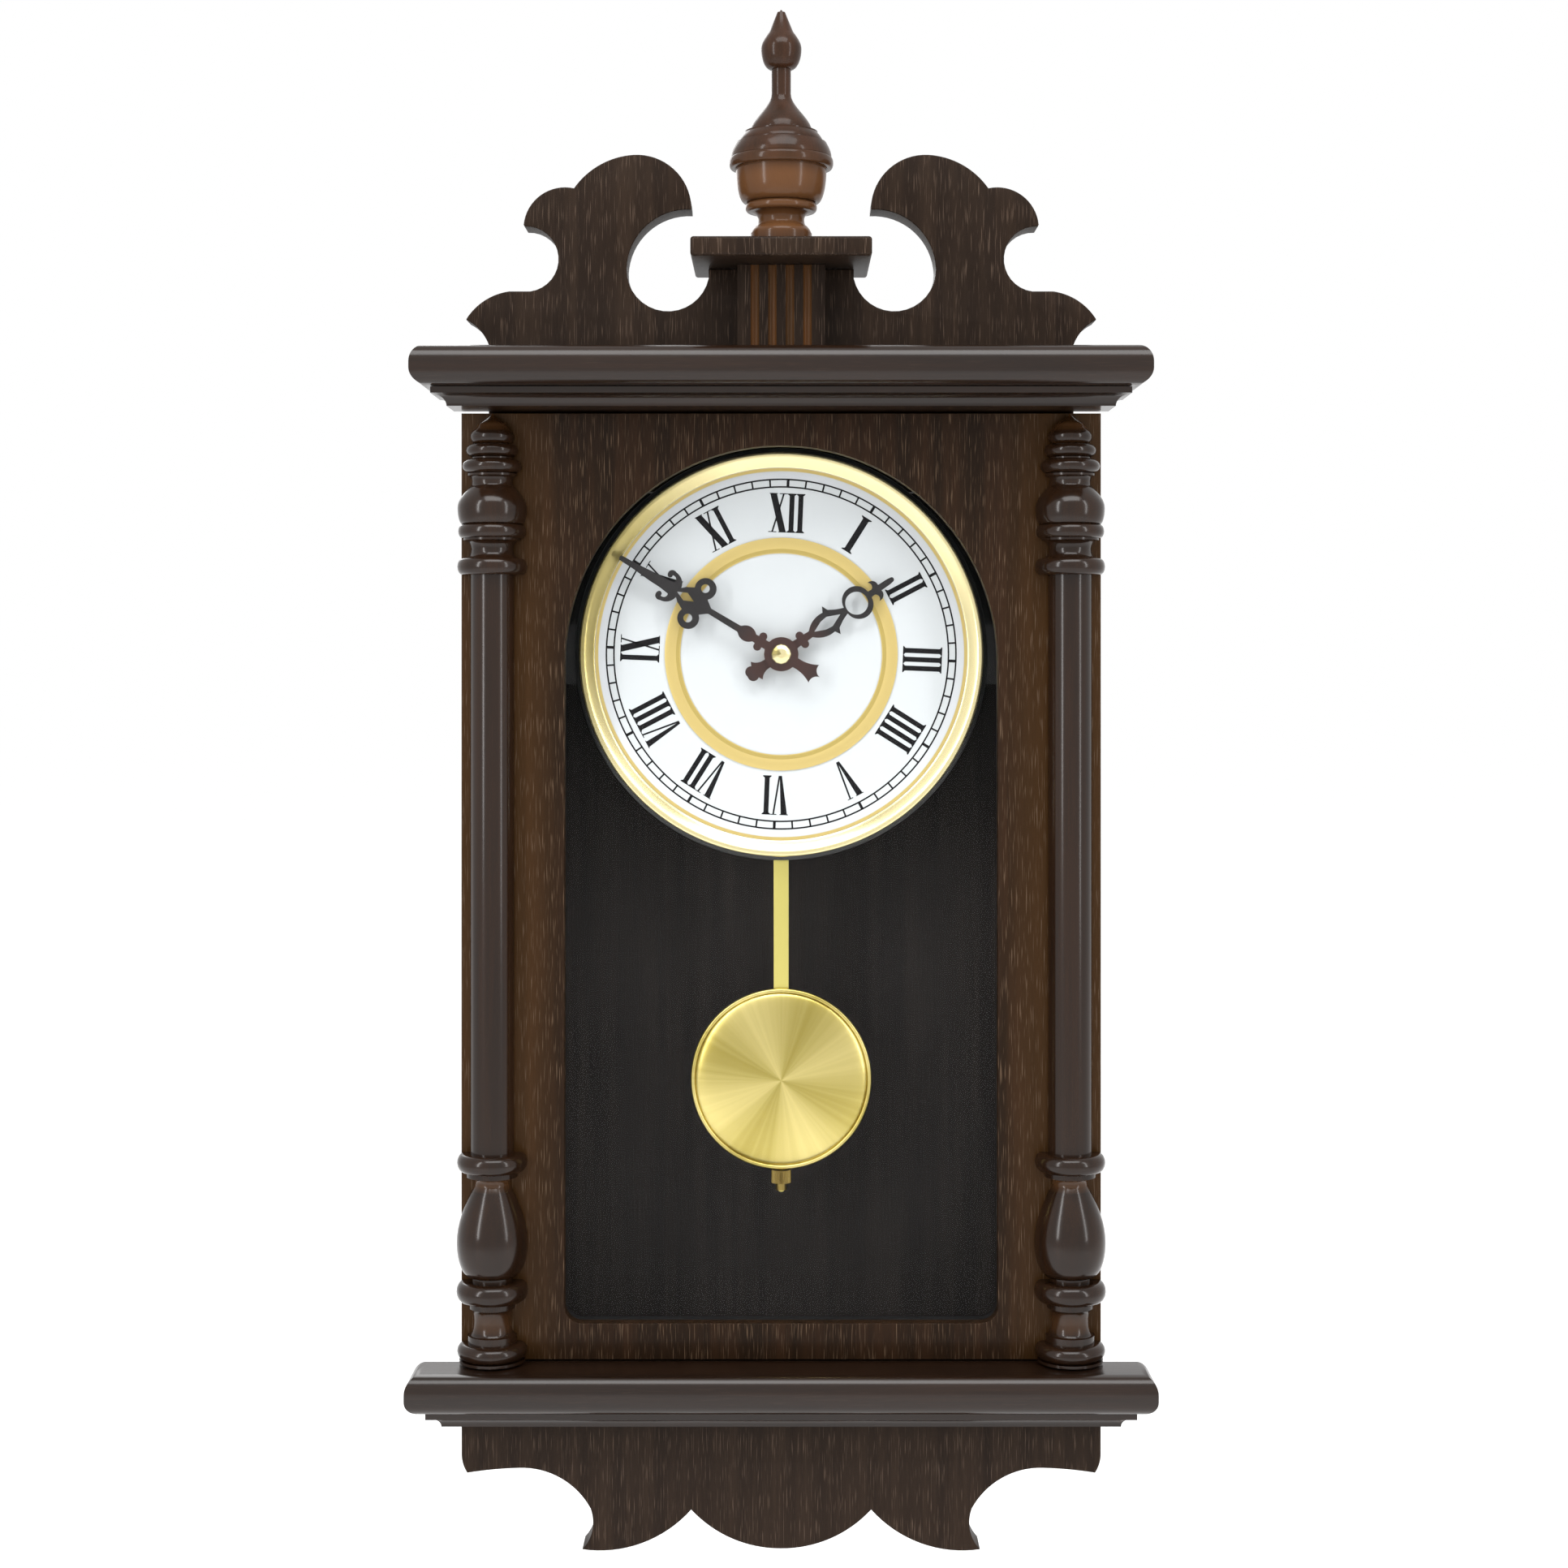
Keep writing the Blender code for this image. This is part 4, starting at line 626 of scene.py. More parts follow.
def make_brushed_brass():
    """Brass brushed in circles and lacquered: fine rings in the bump, and a painted highlight that fans from
    the centre.
    """
    made, tree, shader = finish("Circular-brushed brass", "#E3D06A", 0.30, 1.0, Coat_Weight=0.35,
                                Coat_Roughness=0.06)
    parts, angle = angle_about(tree, BOB_Z)
    # Painted highlight: four bright and four dark sectors round the bob's centre, broken by noise.
    doubled = add_node(tree, "ShaderNodeMath", {1: 4.0}, {0: angle}, operation="MULTIPLY").outputs[0]
    painted_highlight_fan = add_node(tree, "ShaderNodeMath", links={0: doubled}, operation="SINE").outputs[0]
    spoke_at = add_node(tree, "ShaderNodeCombineXYZ", links={0: angle}).outputs[0]
    spoke = add_node(tree, "ShaderNodeTexNoise", {"Scale": 9.0, "Detail": 3.0}, {"Vector": spoke_at})
    mixed = add_node(tree, "ShaderNodeMath", {1: 0.5}, {0: painted_highlight_fan, 2: spoke.outputs[0]},
                     operation="MULTIPLY_ADD")
    tree.links.new(blend_colours(tree, band(tree, mixed.outputs[0], -0.1, 1.1), "#B5A452", "#E4D387"),
                   shader.inputs["Base Color"])
    away = add_node(tree, "ShaderNodeVectorMath", {1: (0, 0, 0)},
                    {0: add_node(tree, "ShaderNodeCombineXYZ",
                                 links={0: parts.outputs[0], 1: parts.outputs[2]}).outputs[0]},
                    operation="DISTANCE").outputs["Value"]
    # The real rings are about 0.05 mm apart, too fine to show, and are drawn at 0.4 mm.
    ring_at = add_node(tree, "ShaderNodeCombineXYZ", links={0: away}).outputs[0]
    rings = add_node(tree, "ShaderNodeTexNoise", {"Scale": 2500.0, "Detail": 2.0}, {"Vector": ring_at})
    bump = add_node(tree, "ShaderNodeBump", {"Strength": 0.10, "Distance": 0.0001},
                    {"Height": rings.outputs[0]})
    tree.links.new(bump.outputs[0], shader.inputs["Normal"])
    return made


# ================================================================ case
FINISHES = {}


class ClockPiece:
    """What every operator that builds pieces shares."""
    bl_options = {"REGISTER", "UNDO"}

    def execute(self, context):
        """Build the group's pieces with the shared finishes."""
        self.build(context, FINISHES)
        return {"FINISHED"}


class CLOCK_OT_case(ClockPiece, bpy.types.Operator):
    """Sides, top and bottom with their edges eased, finishes for the rail, backboard and keyhole plate, and
    the plate's screws
    """
    bl_idname = "clock.case"
    bl_label = "Case"

    def build(self, context, looks):
        edge = context.scene.clock_wood.edge
        for node in ("case_side_left", "case_side_right", "case_top", "case_bottom"):
            look = looks["case"] if "side" in node else looks["case_flat"]
            board = block(node + "_board", low(node), high(node), edge / 2, 2)
            hand_over(board, "case", look, "case_wood", node)
        paint_frame(looks, hanging_rail="case_flat", backboard="panel", hanger_plate="zinc")
        screws = []
        plate = (low("hanger_plate") + high("hanger_plate")) / 2
        for side in (-1, 1):
            at = Vector((side * 0.0185, high("hanger_plate").y - 0.0010, plate.z))
            head = rod("screw", 0.0034, at, at + Vector((0, 0.00108, 0)), 32)
            slots = [block("slot", at + Vector((-a, 0.0004, -b)), at + Vector((a, 0.0020, b)))
                     for a, b in ((0.0022, 0.0004), (0.0004, 0.0022))]
            screws.append(combine(head, slots))
        hand_over(join("hanger_screws", screws), "case", looks["zinc"], "zinc_steel")


# ================================================================ mouldings
def nose(reach, top, thickness, across, up, under, down, steps=12):
    """A board's rounded edge as pairs of reach and height, from its top."""
    turns = [math.pi / 2 * i / steps for i in range(steps + 1)]
    points = [(reach - across * (1 - math.sin(a)), top - up * (1 - math.cos(a))) for a in turns]
    return points + [(reach - under * (1 - math.cos(a)), top - thickness + down * (1 - math.sin(a)))
                     for a in turns]


def cove(reach, wide, thin, steps=12):
    """A cove strip's edge from its fillet at the board to its thin edge."""
    wide_in, thin_in = 0.0084, 0.0148
    fillet = wide + math.copysign(0.0028, thin - wide)
    points = [(reach - wide_in, wide), (reach - wide_in, fillet)]
    for i in range(1, steps + 1):
        a = math.pi / 2 * i / steps
        points.append((reach - wide_in - (thin_in - wide_in) * math.sin(a),
                       fillet + (thin - fillet) * (1 - math.cos(a))))
    return points


def run_moulding(name, reach, side, profile):
    """A strip whose edge runs round its front and ends: a plane is drawn out and scaled up the profile."""
    clear_selection()
    back = FRONT_Y - SEAT
    half = FRONT_HALF + side
    widths = [half - reach + far for far, _ in profile]
    depths = [far for far, _ in profile]
    bpy.ops.mesh.primitive_plane_add(size=1.0, location=(0, back - depths[0] / 2, profile[0][1]))
    piece = bpy.context.object
    piece.scale = (2 * widths[0], depths[0], 1)
    set_down(piece, name)
    bpy.ops.object.mode_set(mode="EDIT")
    bpy.ops.mesh.select_all(action="SELECT")
    for i in range(1, len(profile)):
        rise = profile[i][1] - profile[i - 1][1]
        bpy.ops.mesh.extrude_region_move(TRANSFORM_OT_translate={"value": (0, 0, rise)})
        bpy.ops.transform.resize(value=(widths[i] / widths[i - 1], depths[i] / depths[i - 1], 1),
                                 center_override=(0, back, profile[i][1]))
    bpy.ops.object.mode_set(mode="OBJECT")
    return shade(tidy_mesh(piece), 32)


class CLOCK_OT_mouldings(ClockPiece, bpy.types.Operator):
    """Cornice and base: each a rounded board with a cove strip"""
    bl_idname = "clock.mouldings"
    bl_label = "Mouldings"

    def build(self, context, looks):
        for name, reach, side in (("cornice", 0.0406, 0.0181), ("base", 0.0265, 0.0223)):
            board, strip = name + "_board", name + "_cove"
            thick = high(board).z - low(board).z
            edge = nose(reach, high(board).z, thick, 0.0064, 0.0078, 0.0079, 0.0072)
            for node, profile in ((board, edge), (strip, cove(reach, high(strip).z, low(strip).z))):
                hand_over(run_moulding(node + "_fine", reach, side, profile), "case", looks["moulding"],
                          "case_wood", node)


# ================================================================ crest and apron
SCROLL = [
    ((-0.1366, 0.0366), (-0.1431, 0.0417)), (-0.1431, 0.0422),
    ((-0.1355, 0.0501), (-0.1237, 0.0547)), (-0.1141, 0.0547),
    ((-0.1013, 0.0683), (-0.1167, 0.0842)), (-0.1171, 0.0850),
    ((-0.1102, 0.0978), (-0.0942, 0.1016)),
    ((-0.0825, 0.1122), (-0.0669, 0.1168)),
    ((-0.0485, 0.1100), (-0.0408, 0.0933)), (-0.0408, 0.0918),
    ((-0.0595, 0.0860), (-0.0703, 0.0650)),
    ((-0.0550, 0.0460), (-0.0330, 0.0606)),
]
SCALLOPS = [
    (-0.1453, -0.0423), ((-0.1446, -0.0468), (-0.1427, -0.0508)),
    ((-0.1310, -0.0493), (-0.1191, -0.0486)), ((-0.0988, -0.0541), (-0.0867, -0.0670)),
    ((-0.0858, -0.0764), (-0.0904, -0.0856)), ((-0.0660, -0.0837), (-0.0409, -0.0676)),
    ((-0.0221, -0.0808), (0.0, -0.0852)),
]
FINIAL = (
    ("close", 0.0010, 0.0004, 0.0018), ("plain", 0.0090, 0.0018, 0.0055),
    ("swell", 0.0077, 0.0055, 0.0092), ("close", 0.0093, 0.0092, 0.0044), ("plain", 0.0110, 0.0044, 0.0044),
    ("ogee", 0.0172, 0.0044, 0.0140), ("plain", 0.0006, 0.0165, 0.0165),
    ("swell", 0.0045, 0.0165, 0.0190), ("swell", 0.0066, 0.0205, 0.0228),
    ("bead", 0.0050, 0.0225, 0.0236, 0.0215), ("plain", 0.0005, 0.0209, 0.0209),
    ("close", 0.0150, 0.0205, 0.0163), ("bead", 0.0042, 0.0148, 0.0162, 0.0143),
    ("cove", 0.0065, 0.0140, 0.0104, 0.0118), ("swell", 0.0032, 0.0118, 0.0136),
    ("plain", 0.0060, 0.0139, 0.0139),
)


class CLOCK_OT_crest(ClockPiece, bpy.types.Operator):
    """Scrolled pediment, fluted block, cap and turned finial, and the scalloped apron"""
    bl_idname = "clock.crest"
    bl_label = "Crest and apron"

    def build(self, context, looks):
        edge = context.scene.clock_wood.edge
        foot = (-0.1329, low("pediment_board").z - FRONT_TOP)
        under_cap = low("finial_cap").z - FRONT_TOP - SEAT
        half = trace(foot, [(-0.1329, 0.0303)] + SCROLL + [(-0.0330, under_cap)])
        apron = trace((-FRONT_HALF, high("apron_board").z - FRONT_BOTTOM), SCALLOPS)
        for node, line, base in (("pediment_board", half, FRONT_TOP), ("apron_board", apron, FRONT_BOTTOM)):
            outline = [(x, base + z) for x, z in mirrored(line)]
            board = cut_out(node + "_fine", [outline], low(node).y, high(node).y)
            ease(board, lambda co: abs(co.y - FRONT_Y) < FINE, edge)
            hand_over(shade(board, 30), "case", looks["crest"], "front_wood", node)

        foot_z, head_z = low("fluted_block").z, high("fluted_block").z
        front, back, half_w = low("fluted_block").y, high("fluted_block").y, high("fluted_block").x
        pitch, groove = 2 * half_w / 5, 0.0019
        line = [(-half_w, back), (-half_w, front)]
        for i in range(4):
            middle = (i - 1.5) * pitch
            line += [(middle + groove * math.cos(a), front + groove * math.sin(a))
                     for a in [math.pi * (1 - k / 12) for k in range(13)]]
        line += [(half_w, front), (half_w, back)]
        fluted = cut_out("fluted_block_fine", [line], 0, head_z - foot_z)
        fluted.data.transform(Matrix.Translation((0, 0, head_z)) @ Matrix.Rotation(math.radians(-90), 4, "X"))
        hand_over(shade(fluted, 40), "case", looks["crest"], "front_wood", "fluted_block")
        # The groove faces take the lighter finish: painted light in the flutes.
        fluted.data.materials.append(looks["groove"])
        for face in fluted.data.polygons:
            inside = abs(face.center.x) < half_w - FINE and FINE < face.center.y - front < groove + FINE
            face.material_index = int(inside and abs(face.normal.z) < 0.5)

        cap = block("finial_cap_fine", low("finial_cap"), high("finial_cap"), 0.0014, 4)
        hand_over(cap, "case", looks["crest"], "case_wood", "finial_cap")
        middle = (low("finial") + high("finial")) / 2
        profile = turning(high("finial").z - low("finial").z, FINIAL)
        finial = turn("finial_fine", profile, (0, middle.y, low("finial").z), 72)
        hand_over(finial, "case", looks["finial"], "finial_wood", "finial")


# ================================================================ door
COLUMN_HEAD = [
    ("ogee", 0.0060, 0.0004, 0.0070), ("swell", 0.0045, 0.0070, 0.0100), ("close", 0.0033, 0.0100, 0.0078),
    ("bead", 0.0062, 0.0085, 0.0118, 0.0093), ("plain", 0.0006, 0.0093, 0.0093),
    ("bead", 0.0068, 0.0093, 0.0135, 0.0112), ("plain", 0.0010, 0.0112, 0.0112),
    ("cove", 0.0050, 0.0110, 0.0093, 0.0103), ("swell", 0.0095, 0.0103, 0.0157),
    ("close", 0.0075, 0.0157, 0.0134), ("bead", 0.0062, 0.0134, 0.0154, 0.0130),
    ("plain", 0.0010, 0.0130, 0.0130), ("cove", 0.0082, 0.0128, 0.0096, 0.0127),
    ("bead", 0.0074, 0.0135, 0.0158, 0.0135),
]
COLUMN_FOOT = [
    ("bead", 0.0082, 0.0130, 0.0159, 0.0130), ("plain", 0.0024, 0.0116, 0.0116),
    ("cove", 0.0040, 0.0110, 0.0079, 0.0082), ("swell", 0.0260, 0.0082, 0.0161),
    ("close", 0.0152, 0.0161, 0.0099), ("plain", 0.0020, 0.0092, 0.0092),
    ("bead", 0.0092, 0.0130, 0.0162, 0.0130), ("plain", 0.0030, 0.0104, 0.0104),
    ("cove", 0.0122, 0.0100, 0.0085, 0.0106), ("plain", 0.0034, 0.0111, 0.0111),
    ("bead", 0.0074, 0.0125, 0.0159, 0.0140), ("plain", 0.0012, 0.0149, 0.0149),
]
SHAFT_R = 0.0099


class CLOCK_OT_door(ClockPiece, bpy.types.Operator):
    """Door frame with its rounded lip, glass, retainer, split columns and catch"""
    bl_idname = "clock.door"
    bl_label = "Door"

    def build(self, context, looks):
        wood = context.scene.clock_wood
        foot, head = low("door_frame"), high("door_frame")
        border = [(foot.x, foot.z), (head.x, foot.z), (head.x, head.z), (foot.x, head.z)]
        door = cut_out("door_frame_fine", [border, arched()], foot.y, head.y)
        rebate = cut_out("rebate", [arched(0.0080)], head.y - 0.0095, head.y + 0.0100)
        combine(door, [rebate])
        near = 0.0020

        def at_opening(co):
            return (abs(co.y - FRONT_Y) < FINE and abs(co.x) < OPENING_HALF + near
                    and SILL_Z - near < co.z < ARCH_Z + OPENING_HALF + near)

        ease(door, at_opening, wood.lip, 4)
        ease(door, lambda co: abs(co.y - FRONT_Y) < FINE and abs(co.x) > head.x - near, wood.edge / 2, 2)
        hand_over(shade(tidy_mesh(door), 30), "door", looks["front"], "front_wood", "door_frame")

        pane = cut_out("glass_fine", [arched(0.0074)], low("glass_pane").y, high("glass_pane").y)
        hand_over(shade(pane), "door", looks["glass"], "glass", "glass_pane")
        front, back = low("glass_retainer").y, high("glass_retainer").y
        retainer = cut_out("retainer_fine", [arched(0.0077), arched(0.0005)], front, back)
        ease(retainer, lambda co: abs(co.y - back) < FINE, 0.0010, 2)
        hand_over(shade(retainer), "door", looks["abs"], "black_plastic", "glass_retainer")

        length = high("column_left").z - low("column_left").z
        members = COLUMN_HEAD + COLUMN_FOOT
        shaft = ("plain", length - sum(part[1] for part in members), SHAFT_R, SHAFT_R)
        profile = turning(length, COLUMN_HEAD + [shaft] + COLUMN_FOOT, 8)
        for node, side in (("column_left", -1), ("column_right", 1)):
            column = turn(node + "_fine", profile, (side * COLUMN_X, COLUMN_Y, low(node).z), 72)
            pick(column)
            bpy.ops.object.mode_set(mode="EDIT")
            bpy.ops.mesh.select_all(action="SELECT")
            bpy.ops.mesh.bisect(plane_co=(0, FRONT_Y - SEAT, 0), plane_no=(0, 1, 0), clear_outer=True,
                                use_fill=True)
            bpy.ops.object.mode_set(mode="OBJECT")
            hand_over(shade(tidy_mesh(column)), "door", looks["column"], "column_wood", node)

        plate = block("catch_plate_fine", low("catch_plate"), high("catch_plate"), 0.0003, 2)
        hand_over(plate, "door", looks["zinc"], "zinc_steel", "catch_plate")
        magnet = block("catch_magnet_fine", low("catch_magnet"), high("catch_magnet"), 0.0008, 3)
        hand_over(magnet, "case", looks["abs"], "black_plastic", "catch_magnet")


class CLOCK_OT_hinges(ClockPiece, bpy.types.Operator):
    """Screws in the hinges' case leaves, and domed ends on the pins"""
    bl_idname = "clock.hinges"
    bl_label = "Hinges"

    def build(self, context, looks):
        paint_frame(looks, case_leaf_top="hinge", case_leaf_bottom="hinge", door_leaf_top="hinge",
                    door_leaf_bottom="hinge")
        heads = []
        for place in ("top", "bottom"):
            pin = "hinge_pin_" + place
            middle = (low(pin) + high(pin)) / 2
            radius = (high(pin).x - low(pin).x) / 2
            body = rod(pin + "_fine", radius, (middle.x, middle.y, low(pin).z),
                       (middle.x, middle.y, high(pin).z), 32, 0.0004)
            hand_over(body, "case", looks["hinge"], "hinge_brass", pin)
            leaf = "case_leaf_" + place
            face = low(leaf).x + 0.0012
            for rise in (-0.0130, 0.0, 0.0130):
                at = Vector((face - 0.0002, high(leaf).y - 0.0045, middle.z + rise))
                head = rod("screw", 0.0024, at, at + Vector((0.0007, 0, 0)), 24, 0.0003)
                slots = [block("slot", at + Vector((0.0003, -a, -b)), at + Vector((0.0020, a, b)))
                         for a, b in ((0.0015, 0.0003), (0.0003, 0.0015))]
                heads.append(combine(head, slots))
        hand_over(join("hinge_screws", heads), "case", looks["hinge"], "hinge_brass")


# ================================================================ dial
def washer(name, outer, inner, front, back, steps=192):
    """A flat ring on the dial's axis."""
    return cut_out(name, [circle(outer, steps), circle(inner, steps)], front, back, at=(0.0, DIAL_Z))


def ring_of(name, profile, back, steps=128):
    """A closed ring spun on the dial's axis from pairs of radius and height in front of its back."""
    return turn(name, profile + [profile[0]], (0, back, DIAL_Z), steps, "Y")


def stroke(foot, head, thick_foot, thick_head=None):
    """A straight stroke with square ends between two points."""
    thick_head = thick_head or thick_foot
    return [(foot[0] - thick_foot / 2, foot[1]), (foot[0] + thick_foot / 2, foot[1]),
            (head[0] + thick_head / 2, head[1]), (head[0] - thick_head / 2, head[1])]


class Numeral:
    """A roman numeral drawn upright in a box from its foot to its head; x runs from left to right."""

    def __init__(self, foot, head):
        self.foot, self.head, self.serif = foot, head, 0.0004
        self.outlines, self.x = [], 0.0

    def stem(self, thick, wide):
        """An upright with a thin serif at each end."""
        middle = self.x + wide / 2
        inner, outer = self.foot + self.serif, self.head - self.serif
        bracket, half = 0.0007, thick / 2
        self.outlines.append([
            (middle - wide / 2, self.foot), (middle + wide / 2, self.foot), (middle + wide / 2, inner),
            (middle + half, inner + bracket), (middle + half, outer - bracket), (middle + wide / 2, outer),
            (middle + wide / 2, self.head), (middle - wide / 2, self.head), (middle - wide / 2, outer),
            (middle - half, outer - bracket), (middle - half, inner + bracket), (middle - wide / 2, inner)])
        self.x += wide

    def five(self, wide):
        """A V whose left stroke is thick and right stroke thin."""
        x, inner = self.x, self.head - self.serif
        tip = x + wide * 0.54
        self.outlines += [
            stroke((tip - 0.0004, self.foot), (x + wide * 0.24, inner), 0.0010, 0.0029),
            stroke((tip + 0.0002, self.foot), (x + wide * 0.84, inner), 0.0008),
            [(x, inner), (x + wide * 0.48, inner), (x + wide * 0.48, self.head), (x, self.head)],
            [(x + wide * 0.66, inner), (x + wide, inner), (x + wide, self.head),
             (x + wide * 0.66, self.head)]]
        self.x += wide

    def ten(self, wide):
        """An X with a thick falling stroke and a thin rising one."""
        x, inner, outer = self.x, self.foot + self.serif, self.head - self.serif
        left, right = x + wide * 0.22, x + wide * 0.78
        self.outlines += [stroke((right, inner), (left, outer), 0.0031),
                          stroke((left, inner), (right, outer), 0.0008)]
        for low_z, high_z in ((self.foot, inner), (outer, self.head)):
            for start, end in ((x, x + wide * 0.45), (x + wide * 0.55, x + wide)):
                self.outlines.append([(start, low_z), (end, low_z), (end, high_z), (start, high_z)])
        self.x += wide

    def write(self, letters):
        """Draw a whole numeral and centre it."""
        several = len(letters) > 1
        for letter in letters:
            if letter == "I":
                self.stem(0.0023 if several else 0.0030, 0.0040 if several else 0.0054)
            elif letter == "V":
                self.five(0.0082)
            else:
                self.ten(0.0084)
            self.x += 0.0001
        middle = (self.x - 0.0001) / 2
        return [[(x - middle, z) for x, z in outline] for outline in self.outlines]


class CLOCK_OT_dial(ClockPiece, bpy.types.Operator):
    """Pan, white plate, printed track and numerals, inner ring and the spun bezel"""
    bl_idname = "clock.dial"
    bl_label = "Dial"

    def build(self, context, looks):
        dial = context.scene.clock_dial
        bore = 0.0048
        pan = washer("dial_pan_fine", high("dial_pan").x, bore, low("dial_pan").y, high("dial_pan").y)
        ease(pan, lambda co: abs(co.y - low("dial_pan").y) < FINE and math.hypot(co.x, co.z - DIAL_Z) > 0.05,
             0.0005, 2)
        hand_over(shade(pan), "case", looks["pan"], "pan_black", "dial_pan")
        plate = washer("dial_plate_fine", high("dial_plate").x, bore, DIAL_Y, high("dial_plate").y)
        hand_over(shade(plate), "case", looks["dial"], "dial_white", "dial_plate")

        print_at = (DIAL_Y - PRINT_T, DIAL_Y)
        track_in, track_out, line = 0.0777, 0.0812, 0.00072
        hand_over(washer("print_rim", 0.0846, 0.0816, *print_at), "case", looks["rim"], "dial_white")
        hand_over(washer("print_gold", 0.0865, 0.0850, *print_at), "case", looks["ring"], "brass")

        marks = []
        for radius in (track_out, track_in):
            marks.append(washer("track", radius + line / 2, radius - line / 2, *print_at))
        for minute in range(60):
            wide = 0.0013 if minute % 5 == 0 else 0.0008
            angle = TAU * minute / 60 + dial.turn
            marks.append(cut_out("tick", [stroke((0, track_in), (0, track_out), wide)], *print_at,
                                 turned=angle, at=(0.0, DIAL_Z)))
        names = ("XII", "I", "II", "III", "IIII", "V", "VI", "VII", "VIII", "IX", "X", "XI")
        for hour, letters in enumerate(names):
            for outline in Numeral(dial.numeral_in, dial.numeral_out).write(letters):
                marks.append(cut_out("numeral", [outline], *print_at, turned=TAU * hour / 12 + dial.turn,
                                     at=(0.0, DIAL_Z)))
        hand_over(join("print_black", marks), "case", looks["ink"], "hand_black")

        outer, inner = high("dial_ring").x, 0.0468
        front, back = low("dial_ring").y, high("dial_ring").y
        depth = back - front
        middle = (outer + inner) / 2 - 0.0010
        ring = ring_of("dial_ring_fine", [(outer, 0), (outer, depth * 0.7), (outer - 0.0003, depth),
                                          (middle, depth), (middle - 0.0004, depth * 0.6),
                                          (inner + 0.0003, depth * 0.6), (inner, depth * 0.4), (inner, 0)],
                       back)
        hand_over(ring, "case", looks["ring"], "brass", "dial_ring")
        # A flat washer on the ring's inner step, in the darker gold: painted shade for a slope.
        slope = washer("dial_ring_slope", middle - 0.0006, inner + 0.0004, back - depth * 0.6 - PRINT_T,
                       back - depth * 0.6)
        hand_over(slope, "case", looks["ring_deep"], "brass")

        front, back = low("bezel").y, high("bezel").y
        rise, sit = back - front, back - (DIAL_Y - 0.0003)
        lip = [(BEZEL_R - 0.0011 + 0.0011 * math.cos(a), rise - 0.0011 + 0.0011 * math.sin(a))
               for a in [math.pi / 2 * i / 8 for i in range(9)]]
        inner = 0.0867
        slope = [(BEZEL_R - 0.0022 - (BEZEL_R - 0.0022 - inner - 0.0004) * t,
                  rise - (rise - sit - 0.0011) * t ** 1.2) for t in [i / 12 for i in range(13)]]
        profile = [(BEZEL_R, 0)] + lip + slope + [(inner, sit + 0.0009), (inner, sit),
                                                  (BEZEL_R - 0.0012, sit), (BEZEL_R - 0.0012, 0)]
        hand_over(ring_of("bezel_fine", profile, back, 160), "case", looks["brass"], "brass", "bezel")
        paint_frame(looks, dial_batten="black_wood", centre_bush="nut", bush_nut="nut", hour_tube="nut",
                    minute_arbor="nut")


